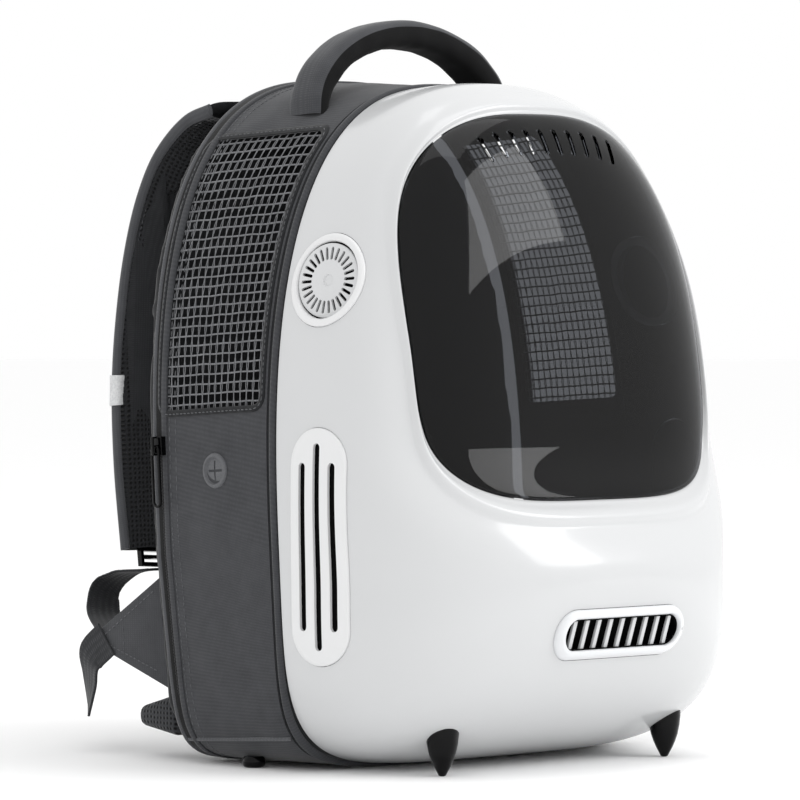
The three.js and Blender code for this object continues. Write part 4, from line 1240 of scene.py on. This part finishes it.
# %% [markdown]
# ## Netting
#
# The window in each side is a coarse knitted net: thick soft rows, thinner paired columns, and a hem
# of tape round it. It could be a see-through pattern on a sheet, but the strands show their
# thickness and catch light, so each is a thin tube that follows the bow of the side. The rows weave
# a little, as hand-pulled netting does.

# %% Net of strands with its hem
NET_ROWS = 28
NET_COLUMNS = 16
ROW_RADIUS = 0.6
COLUMN_RADIUS = 0.34
PAIR_GAP = 0.8
NET_WAVE = 0.25


def net_point(y, z, out=0):
    wave = NET_WAVE * noise.noise(Vector((y * 0.08, z * 0.05, 3)))
    return side_point(y, z + 2.2 * wave, -BAND_WALL / 2 + out + wave)


def hem_point(u, inset, rise):
    y, z = rounded_point(MESH_REAR - MESH_FRONT, MESH_TOP - MESH_BOTTOM, MESH_CORNER, u, inset,
                         ((MESH_FRONT + MESH_REAR) / 2, (MESH_TOP + MESH_BOTTOM) / 2))
    bow = math.sin(math.pi * (y - BAND_START) / (BAND_DEPTH - BAND_START)) * CLOTH_BOW
    return side_point(y, z, rise + bow)


HEM_RINGS = ((-3.2, 0.1), (-2.9, 0.7), (-1, 0.95), (0.6, 0.8), (1.2, 0.2), (1.2, -2.2),
             (0.2, -2.4), (-0.2, -1), (-3.2, 0.1))
for side in SIDES:
    net_mesh = start_mesh()
    for row in range(NET_ROWS):
        z = mix(MESH_BOTTOM + 1, MESH_TOP - 1, (row + 0.5) / NET_ROWS)

        def row_path(share, z=z):
            return flipped(net_point(mix(MESH_FRONT - 2, MESH_REAR + 2, share), z), side)

        tube(net_mesh, row_path, ROW_RADIUS, 26, MESH_REAR - MESH_FRONT, 6)
    for column in range(NET_COLUMNS):
        for strand in (-PAIR_GAP / 2, PAIR_GAP / 2):
            y = mix(MESH_FRONT, MESH_REAR, (column + 0.5) / NET_COLUMNS) + strand

            def column_path(share, y=y, strand=strand):
                z = mix(MESH_BOTTOM - 2, MESH_TOP + 2, share)
                twist = 0.35 * math.sin(share * NET_ROWS * math.pi)
                return flipped(net_point(y + twist * math.copysign(1, strand), z, 0.5), side)

            tube(net_mesh, column_path, COLUMN_RADIUS, 84, MESH_TOP - MESH_BOTTOM, 4)
    close_ends(net_mesh)
    net = to_object("knitted_net_" + side, net_mesh, (net_yarn,), 60)
    join_in(net, ["mesh_window_" + side])

    hem_mesh = start_mesh()
    lay_rings(hem_mesh, 200, HEM_RINGS, lambda u, inset, rise: mirrored(hem_point(u, inset, rise), side))
    sew(hem_mesh, lambda share: flipped(hem_point(share, -1.4, 1.0), side),
        2 * (MESH_REAR - MESH_FRONT + MESH_TOP - MESH_BOTTOM), 1, 3.6, 0.35)
    close_ends(hem_mesh)
    join_in(to_object("net_hem_" + side, hem_mesh, (dark_tape_and_groove_shade, sewing_thread), 60), [])

# %% [markdown]
# ## Smooth paths
#
# Straps and webbing follow a few given points. A centripetal Catmull-Rom curve joins them
# without overshooting, and its points are then spaced evenly, so that stitches and ribs are too.

# %% Paths through chosen points


def smooth_path(points, count=120):
    """Evenly spaced points along a curve through the given ones."""
    points = [Vector(point) for point in points]
    ends = [2 * points[0] - points[1], *points, 2 * points[-1] - points[-2]]
    fine = []
    for before, start, end, after in zip(ends, ends[1:], ends[2:], ends[3:]):
        pairs = ((before, start), (start, end), (end, after))
        gap_before, gap, gap_after = [math.sqrt((there - here).length) for here, there in pairs]
        way_in = ((start - before) / gap_before - (end - before) / (gap_before + gap)
                  + (end - start) / gap) * gap
        way_out = ((end - start) / gap - (after - start) / (gap + gap_after)
                   + (after - end) / gap_after) * gap
        for step in range(24):
            t = step / 24
            fine.append(start * (2 * t ** 3 - 3 * t ** 2 + 1) + way_in * (t ** 3 - 2 * t ** 2 + t)
                        + end * (3 * t ** 2 - 2 * t ** 3) + way_out * (t ** 3 - t ** 2))
    fine.append(points[-1])
    marks = [0]
    for here, there in zip(fine, fine[1:]):
        marks.append(marks[-1] + (there - here).length)
    even = []
    leg = 0
    for step in range(count + 1):
        target = marks[-1] * step / count
        while leg < len(marks) - 2 and marks[leg + 1] < target:
            leg += 1
        even.append(fine[leg].lerp(fine[leg + 1], (target - marks[leg]) / (marks[leg + 1] - marks[leg])))
    return even, marks[-1]


def on_path(path, share):
    """A point of an evenly spaced path, and the way it goes there."""
    place = min(1, max(0, share)) * (len(path) - 1)
    first = min(len(path) - 2, int(place))
    before, after = path[max(0, first - 1)], path[min(len(path) - 1, first + 2)]
    return path[first].lerp(path[first + 1], place - first), (after - before).normalized()


# %% [markdown]
# ## Shoulder straps
#
# Each strap is a flat foam pad: smooth cloth outside and round its edges, and knitted air mesh
# towards the wearer. A simulation would erase such a thin strip, so it is swept directly,
# with a crowned section that grows softly uneven along its length, as foam does between stitches.

# %% Padded straps
BACK_REAR = 131.6
STRAP_WIDTH = 58
STRAP_THICKNESS = 13
STRAP_TOP = (66, 425)
STRAP_BOTTOM = (84, 143)
STRAP_REACH = 88
# How far down the strap is, and how far it stands off the back, as shares
STRAP_COURSE = ((0, -0.06), (0.02, 0.22), (0.09, 0.53), (0.18, 0.72), (0.3, 0.86), (0.46, 0.96), (0.62, 1),
                (0.8, 0.97), (1, 0.88))
STRAP_EDGE = 0.93
STRAP_ROW = 0.84
EDGE_RADIUS = 4.4
EDGE_BULGE = 1.9
REFLECTIVE_HEIGHT = 248
REFLECTIVE_LENGTH = 20

strap_path, strap_length = smooth_path([
    (-mix(STRAP_TOP[0], STRAP_BOTTOM[0], down), BACK_REAR + off * STRAP_REACH,
     mix(STRAP_TOP[1], STRAP_BOTTOM[1], down))
    for down, off in STRAP_COURSE
])


def strap_point(share, across, out):
    """A point of the left strap: along it, across it from -1 to 1, and out from its middle layer."""
    here, way = on_path(strap_path, share)
    normal = way.cross(Vector((1, 0, 0))).normalized()
    return here + Vector((across * STRAP_WIDTH / 2, 0, 0)) + normal * out


def strap_crown(share, across):
    """Half the strap's thickness at a place: thin at the edges, uneven between."""
    soft = 1 + 0.1 * noise.noise(Vector((share * 14, across * 1.5, 0)))
    return STRAP_THICKNESS / 2 * (0.42 + 0.58 * (1 - abs(across) ** 3.2)) * soft


for side in SIDES:
    strap_mesh = start_mesh()
    for layer, sense in ((1, 1), (0, -1)):
        def strap_face(u, v, sense=sense):
            across = mix(-STRAP_EDGE, STRAP_EDGE, u)
            return mirrored(strap_point(v, across, sense * strap_crown(v, across)), side)

        sweep(strap_mesh, 28, 120, strap_face, (STRAP_WIDTH, strap_length), layer)
    for edge in (-1, 1):
        def edge_wall(u, v, edge=edge):
            turn = 2 * math.pi * u
            middle = strap_point(v, edge * STRAP_EDGE, 0)
            _, way = on_path(strap_path, v)
            normal = way.cross(Vector((1, 0, 0))).normalized()
            aside = Vector((edge * EDGE_BULGE * math.cos(turn), 0, 0))
            return mirrored(middle + aside + normal * EDGE_RADIUS * math.sin(turn), side)

        sweep(strap_mesh, 12, 120, edge_wall, (20, strap_length))
        for sense in (-1, 1):
            def strap_row(share, edge=edge, sense=sense):
                out = sense * (strap_crown(share, STRAP_ROW) + 0.1)
                return flipped(strap_point(mix(0.04, 0.98, share), edge * STRAP_ROW, out), side)

            sew(strap_mesh, strap_row, strap_length * 0.94, 2)
    close_ends(strap_mesh)
    strap = to_object("padded_strap_" + side, strap_mesh, (strap_cloth, air_mesh, sewing_thread), 60)
    join_in(strap, ["shoulder_strap_" + side])

    sleeve_mesh = start_mesh()
    shares = [step / 1000 for step in range(1001)]
    middle_share = min(shares, key=lambda share: abs(on_path(strap_path, share)[0].z - REFLECTIVE_HEIGHT))
    half_share = REFLECTIVE_LENGTH / strap_length / 2

    def sleeve_wall(u, v):
        """Round the strap outside, then back inside, so that the sleeve is a closed band."""
        turn = 2 * math.pi * u
        rise = (0.5, 1.3, 1.5, 1.3, 1.3, 1.5, 1.3, 0.5, 0.5)[round(v * 8)]
        along = (-1, -1, -0.9, -0.7, 0.7, 0.9, 1, 1, -1)[round(v * 8)]
        across = math.copysign(abs(math.cos(turn)) ** 0.35, math.cos(turn))
        height = math.copysign(abs(math.sin(turn)) ** 0.6, math.sin(turn))
        edge = Vector((across * rise, 0, 0))
        return mirrored(strap_point(middle_share + along * half_share, across * 0.985,
                                    height * (strap_crown(middle_share, 0) + rise)) + edge, side)

    sweep(sleeve_mesh, 64, 8, sleeve_wall, (140, REFLECTIVE_LENGTH))
    sleeve = to_object("reflective_sleeve_" + side, sleeve_mesh, (bright_tape,), 50)
    join_in(sleeve, ["reflective_band_" + side])

# %% [markdown]
# ## Carry handle
#
# The handle is a fat padded strip bent into half an ellipse. Grey cloth covers its outer face, and
# near-black cloth its sides and underside. Its section is a crowned oblong, swept in two parts.

# %% Padded handle
HANDLE_SETBACK = 45
HANDLE_HALF_SPAN = 80
HANDLE_ROOT = 414.5
HANDLE_TOP = 478
HANDLE_WIDTH = 30
HANDLE_THICKNESS = 18
UNDERSIDE_BEYOND = 0.06
# Where the near-black underside and the grey cloth start and end round the section, their steps and their
# materials
HANDLE_PARTS = ((-UNDERSIDE_BEYOND, 0.5 + UNDERSIDE_BEYOND, 28, 1), (0.5 + UNDERSIDE_BEYOND, 1 - UNDERSIDE_BEYOND, 20, 0))
HANDLE_RISE = HANDLE_TOP - HANDLE_THICKNESS / 2 - HANDLE_ROOT

handle_path, handle_length = smooth_path([
    (-HANDLE_HALF_SPAN * math.cos(math.pi * step / 16), HANDLE_SETBACK,
     HANDLE_ROOT + HANDLE_RISE * math.sin(math.pi * step / 16))
    for step in range(17)
], 160)


def handle_point(share, turn):
    here, way = on_path(handle_path, share)
    out = Vector((0, 1, 0)).cross(way).normalized()
    soft = 1 + 0.05 * noise.noise(Vector((share * 16, math.cos(turn), math.sin(turn))))
    across = math.copysign(abs(math.cos(turn)) ** 0.55, math.cos(turn)) * HANDLE_WIDTH / 2 * soft
    thick = math.copysign(abs(math.sin(turn)) ** 0.8, math.sin(turn)) * HANDLE_THICKNESS / 2 * soft
    pinch = mix(1, 0.8, smooth_share(abs(share - 0.5), 0.36, 0.5))
    return here + Vector((0, across, 0)) + out * thick * pinch


handle_mesh = start_mesh()
for start, end, sides, layer in HANDLE_PARTS:
    def handle_wall(u, v, start=start, end=end):
        return at(*handle_point(v, 2 * math.pi * mix(start, end, u)))

    sweep(handle_mesh, sides, 160, handle_wall, (42, handle_length), layer)
merge(handle_mesh)
close_ends(handle_mesh)
handle = to_object("padded_handle", handle_mesh, (strap_cloth, underside_cloth), 60)
join_in(handle, ["carry_handle"])

# %% [markdown]
# ## Back panel
#
# The back is foam under air mesh, sewn into two tall pads with a channel between them so that air can
# rise. It starts as one closed shape from its rim to its middle. Cloth simulation then blows it up a
# little, as foam does, and the sewn channels are pressed in afterwards, where the remesh can't erase
# them.

# %% Padded back
PANEL_FRONT = 114.6
PANEL_SIDE = 9
CHANNEL_HALF = 13
CHANNEL_DEPTH = 5
CROSS_SEAMS = (150, 285)
PANEL_CAP = 5
VOXEL = 5
PRESSURE = 4
# Shares of the outline at which the rim seam lies and the air mesh ends
RIM_SEAM = 0.86
MESH_EDGE = 0.87


def panel_shape(u, v):
    """From the middle of the front face out to the rim, round its side, and in to the rear middle."""
    outline = outline_at(BAND_DEPTH)
    if v < 0.25:
        depth, share = PANEL_FRONT, v / 0.25
    elif v < 0.45:
        turn = (v - 0.25) / 0.2
        depth = mix(PANEL_FRONT, BACK_REAR - 2, turn)
        share = 1 - 0.085 * smooth_share(turn, 0.72, 1.05)
    else:
        depth = BACK_REAR - 2 * max(0, 1 - (v - 0.45) / 0.1)
        share = 0.915 * (1 - (v - 0.45) / 0.55)
    edge = band_point(depth, u, -1)
    middle = Vector((0, depth, outline[1]))
    return at(*middle.lerp(edge, share))


def blow_up(piece, pressure, voxel, cap):
    """Simulates a piece as cloth under pressure, and lets no point move further than a cap."""
    remesh = piece.modifiers.new("remesh", "REMESH")
    remesh.voxel_size = voxel * MM
    settle(piece)
    before = [vertex.co.copy() for vertex in piece.data.vertices]
    cloth = piece.modifiers.new("cloth", "CLOTH")
    cloth.settings.use_pressure = True
    cloth.settings.uniform_pressure_force = pressure
    cloth.settings.effector_weights.gravity = 0
    for step in range(1, 21):
        bpy.context.scene.frame_set(step)
    settle(piece)
    bpy.context.scene.frame_set(1)
    for vertex, start in zip(piece.data.vertices, before):
        moved = vertex.co - start
        if moved.length > cap * MM:
            vertex.co = start + moved.normalized() * cap * MM
    print(piece.name, "blown up, most by", round(max((vertex.co - start).length for vertex, start in
                                                     zip(piece.data.vertices, before)) / MM, 1), "mm")


panel_mesh = start_mesh()
sweep(panel_mesh, 180, 100, panel_shape)
panel = to_object("padded_back", panel_mesh, (air_mesh, dark_tape_and_groove_shade), 60)
blow_up(panel, PRESSURE, VOXEL, PANEL_CAP)
refine = panel.modifiers.new("refine", "SUBSURF")
refine.levels = refine.render_levels = 1
settle(panel)
to_upright = body_place.inverted()
rear_outline = outline_at(BAND_DEPTH)
channels = panel.data.uv_layers.active or panel.data.uv_layers.new(name="UVMap")
for vertex in panel.data.vertices:
    point = to_upright @ vertex.co
    if point.y > BACK_REAR - 6:
        from_middle = abs(point.x)
        channel = 1 - smooth_share(from_middle, CHANNEL_HALF - 5, CHANNEL_HALF + 5)
        seams = max(1 - smooth_share(abs(point.z - height), 1.5, 9) for height in CROSS_SEAMS)
        from_seam = abs(outline_share(rear_outline, point.x, point.z) - RIM_SEAM)
        edge_seam = 1 - smooth_share(from_seam, 0.006, 0.03)
        point.y -= CHANNEL_DEPTH * max(channel, 0.6 * seams, 0.7 * edge_seam)
        vertex.co = body_place @ point
for polygon in panel.data.polygons:
    middle = to_upright @ polygon.center
    on_pads = middle.y > BACK_REAR - 9 and outline_share(rear_outline, middle.x, middle.z) < MESH_EDGE
    polygon.material_index = 0 if on_pads else 1
    for loop in polygon.loop_indices:
        corner = to_upright @ panel.data.vertices[panel.data.loops[loop].vertex_index].co
        channels.data[loop].uv = (corner.x * MM, corner.z * MM)
if not panel.data.materials:
    panel.data.materials.append(air_mesh)
    panel.data.materials.append(dark_tape_and_groove_shade)
shade(panel, 70)
join_in(panel, ["back_panel"])

# %% [markdown]
# ## Anchors, adjusters and waist tabs
#
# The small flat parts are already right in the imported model, but their edges are sharp. A copy of
# each is cleaned, its flat faces are joined, and its edges are rounded with a bevel.

# %% Softened copies of the small parts


def soften(node, width):
    """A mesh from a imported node, cleaned and with its edges rounded."""
    bm = start_mesh()
    bm.from_mesh(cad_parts[node].data)
    merge(bm)
    bmesh.ops.dissolve_limit(bm, angle_limit=math.radians(2), verts=bm.verts, edges=bm.edges)
    edges = [edge for edge in bm.edges
             if len(edge.link_faces) == 2 and edge.calc_face_angle() > math.radians(40)]
    bmesh.ops.bevel(bm, geom=edges, offset=width * MM, segments=3, profile=0.5, affect="EDGES", material=-1,
                    clamp_overlap=True)
    layer = bm.loops.layers.uv.active
    for face in bm.faces:
        for loop in face.loops:
            loop[layer].uv = (loop.vert.co.y, loop.vert.co.z)
    return bm


ANCHOR_OFFSET = 150
ANCHOR_REACH = 60
ANCHOR_TOP = 129
ANCHOR_TIP = 86
ANCHOR_TIP_HEIGHT = 10
ANCHOR_BOTTOM = 52
ANCHOR_THICKNESS = 3
TIP_Y = BACK_REAR + ANCHOR_REACH
ANCHOR_SEAT = PANEL_FRONT + PANEL_SIDE + 10
anchor_rows = (
    ((ANCHOR_SEAT, ANCHOR_TOP - 13), (TIP_Y - 6, ANCHOR_TIP + ANCHOR_TIP_HEIGHT / 2 - 3)),
    ((ANCHOR_SEAT, ANCHOR_BOTTOM + 13), (TIP_Y - 6, ANCHOR_TIP - ANCHOR_TIP_HEIGHT / 2 + 3)),
    ((TIP_Y - 26, ANCHOR_TIP - 9), (TIP_Y - 26, ANCHOR_TIP + 9)),
)
for side in SIDES:
    anchor_mesh = soften("strap_anchor_" + side, 0.7)
    for start, end in anchor_rows:
        for sense in (-1, 1):
            def row(share, start=start, end=end, sense=sense):
                y, z = Vector(start).lerp(Vector(end), share)
                return flipped(Vector((-ANCHOR_OFFSET + sense * (ANCHOR_THICKNESS / 2 + 0.1), y, z)), side)

            sew(anchor_mesh, row, (Vector(end) - Vector(start)).length, 1)
    close_ends(anchor_mesh)
    join_in(to_object("sewn_anchor_" + side, anchor_mesh, (body_twill, sewing_thread), 50),
            ["strap_anchor_" + side])
    adjuster_mesh = soften("strap_adjuster_" + side, 0.6)
    join_in(to_object("ladder_adjuster_" + side, adjuster_mesh, (black_abs,), 50),
            ["strap_adjuster_" + side])
    tab_mesh = soften("waist_tab_" + side, 5)
    join_in(to_object("padded_tab_" + side, tab_mesh, (air_mesh,), 70), ["waist_tab_" + side])

# %% [markdown]
# ## Webbing
#
# Webbing is a flat woven band. One length loops from the adjuster to the anchor, and a free tail
# hangs from the anchor, twisting as it falls. Both are swept with a thin section that has a thicker
# woven edge on each side.

# %% Looped webbing and hanging tails
WEBBING_WIDTH = 25
WEBBING_THICKNESS = 1.6
LOOP_REACH = 52
TAIL_LENGTH = 46
TAIL_REACH = 16
TAIL_SWAY = 4
ADJUSTER_HEIGHT = 12
# Across from -1 to 1, and thickness as a share
WEBBING_SECTION = ((-1, 0.35), (-0.97, 1), (-0.9, 1.15), (-0.82, 0.85), (-0.4, 0.95), (0, 0.9), (0.4, 0.95),
                   (0.82, 0.85), (0.9, 1.15), (0.97, 1), (1, 0.35))


def weave_band(bm, path, length, broad_at, side):
    """Sweeps a flat band whose broad direction is given for each share of its path."""
    underside = [(across, -thick) for across, thick in reversed(WEBBING_SECTION)]
    section = [*WEBBING_SECTION, *underside, WEBBING_SECTION[0]]

    def place(u, v):
        across, thick = section[round(u * (len(section) - 1))]
        here, way = on_path(path, v)
        broad = broad_at(v)
        broad = (broad - way * broad.dot(way)).normalized()
        normal = way.cross(broad)
        breadth = broad * across * WEBBING_WIDTH / 2
        return mirrored(here + breadth + normal * thick * WEBBING_THICKNESS / 2, side)

    sweep(bm, len(section) - 1, round(length / 1.5), place, (2 * WEBBING_WIDTH, length))


strap_end, strap_way = on_path(strap_path, 1)
loop_start = strap_end + strap_way * (ADJUSTER_HEIGHT + 2 * FIT + WEBBING_THICKNESS)
loop_end_x = -ANCHOR_OFFSET + ANCHOR_THICKNESS / 2 + FIT + WEBBING_WIDTH / 2
# Shares of the way sideways and down to the tip, and of the loop's reach behind it
LOOP_COURSE = ((0, 0, (loop_start.y - TIP_Y) / LOOP_REACH), (0.12, 0.04, 0.8), (0.28, 0.26, 1),
               (0.44, 0.58, 0.9), (0.68, 0.84, 0.48), (1, 1, -0.16))
loop_path, loop_length = smooth_path([
    (mix(loop_start.x, loop_end_x, aside), TIP_Y + behind * LOOP_REACH, mix(loop_start.z, ANCHOR_TIP, down))
    for aside, down, behind in LOOP_COURSE
])
# Shares of the sway out, the fall and the reach behind, and the way the band is broad
TAIL_COURSE = ((0, 0, -0.62, (0, 0.4, 1)), (0.25, 0.26, 0.38, (0, 0.8, 1)),
               (-0.25, 0.57, 0.62, (0.4, 1, 0.5)), (-1, 1, 1, (0.8, 1, 0)))
tail_offset = ANCHOR_OFFSET + ANCHOR_THICKNESS / 2 + FIT + WEBBING_THICKNESS / 2
tail_path, tail_length = smooth_path([
    (-tail_offset - out * TAIL_SWAY, TIP_Y + behind * TAIL_REACH, ANCHOR_TIP - down * TAIL_LENGTH)
    for out, down, behind, _ in TAIL_COURSE
])


def tail_broad(share):
    place = share * (len(TAIL_COURSE) - 1)
    leg = min(len(TAIL_COURSE) - 2, int(place))
    return Vector(TAIL_COURSE[leg][3]).lerp(Vector(TAIL_COURSE[leg + 1][3]), place - leg)


for side in SIDES:
    loop_mesh = start_mesh()
    weave_band(loop_mesh, loop_path, loop_length, lambda share: Vector((1, 0, 0)), side)
    close_ends(loop_mesh)
    loop = to_object("looped_webbing_" + side, loop_mesh, (nylon_webbing,), 50)
    join_in(loop, ["strap_webbing_" + side])
    tail_mesh = start_mesh()
    weave_band(tail_mesh, tail_path, tail_length, tail_broad, side)
    close_ends(tail_mesh)
    tail = to_object("hanging_tail_" + side, tail_mesh, (nylon_webbing,), 50)
    join_in(tail, ["strap_tail_" + side])

# %% [markdown]
# ## Zip
#
# The zip's coil is a row of small humps where it shows on the left side. The slider rides on it, and
# its long pull hangs free and can swing, so it rides on a body of its own.

# %% Zip coil, slider and pull
ZIP_SETBACK = 105.5
ZIP_TOP = 214
ZIP_BOTTOM = 50
COIL_PITCH = 1.9
COIL_RADIUS = 1.5

coil_mesh = start_mesh()
coil_teeth = round((ZIP_TOP - ZIP_BOTTOM) / COIL_PITCH)


def coil_wall(u, v):
    z = mix(ZIP_BOTTOM, ZIP_TOP, v)
    radius = COIL_RADIUS * (0.8 + 0.2 * math.cos(2 * math.pi * v * coil_teeth))
    middle = side_point(ZIP_SETBACK, z, 0.4)
    turn = 2 * math.pi * u
    return at(middle.x - 0.7 * radius * math.sin(turn), middle.y + radius * math.cos(turn), z)


sweep(coil_mesh, 10, coil_teeth * 4, coil_wall, (8, ZIP_TOP - ZIP_BOTTOM))
close_ends(coil_mesh)
join_in(to_object("zip_coil", coil_mesh, (zip_nylon,)), ["side_zip"])
slider = to_object("zip_runner", soften("zip_slider", 0.5), (black_abs,), 50)
join_in(slider, ["zip_slider"])
pull = to_object("zip_tag", soften("zip_pull", 0.45), (black_abs,), 50)
join_in(pull, ["zip_pull"], "zip_pull")

# %% [markdown]
# ## Cable port
#
# A soft silicone grommet lets a lead out. It is turned like a button, with a raised lip and a thin
# membrane that is slit crosswise.

# %% Grommet with a cross slit
PORT_SETBACK = 55
PORT_HEIGHT = 190.5
PORT_PROFILE = ((0, -0.4), (10.8, -0.4), (11.2, 0.8), (10.6, 2), (9.6, 2.6), (8.8, 2.4), (8.3, 1.2),
                (7.9, 0.7), (3, 1.1), (0, 1.2))
SLIT_LENGTH = 12.6
SLIT_WIDTH = 1.5

port_x = -outline_at(PORT_SETBACK)[0] - FIT


def port_point(y, z, out):
    return at(port_x - out, PORT_SETBACK + y, PORT_HEIGHT + z)


port_mesh = start_mesh()
last_ring = len(PORT_PROFILE) - 1
sweep(port_mesh, 56, last_ring, lambda u, v: port_point(
    PORT_PROFILE[round(v * last_ring)][0] * math.cos(2 * math.pi * u),
    PORT_PROFILE[round(v * last_ring)][0] * math.sin(2 * math.pi * u), PORT_PROFILE[round(v * last_ring)][1]))
# Its second material is the near-black painted shade
port = to_object("slit_grommet", port_mesh, (rubber, painted_shade_abs), 50)
for level, upright in ((SLIT_LENGTH, SLIT_WIDTH), (SLIT_WIDTH, SLIT_LENGTH)):
    slit = start_mesh()
    for vertex in bmesh.ops.create_cube(slit, size=1)["verts"]:
        vertex.co = port_point(vertex.co.y * level, vertex.co.z * upright, vertex.co.x * 1.4 + 0.8)
    cut(port, slit, 50)
join_in(port, ["cable_port"])

# %% [markdown]
# ## The floor
#
# The bag stands on a plain pale studio floor, wide enough that the camera doesn't see its edge.

# %% Lay the floor
floor_mesh = start_mesh()
bmesh.ops.create_grid(floor_mesh, x_segments=1, y_segments=1, size=40)
floor_paint, _, _ = start_material("pale_studio_floor", "#fdfdfd", {"Roughness": 0.9})
floor = to_object("studio_floor", floor_mesh, (floor_paint,))
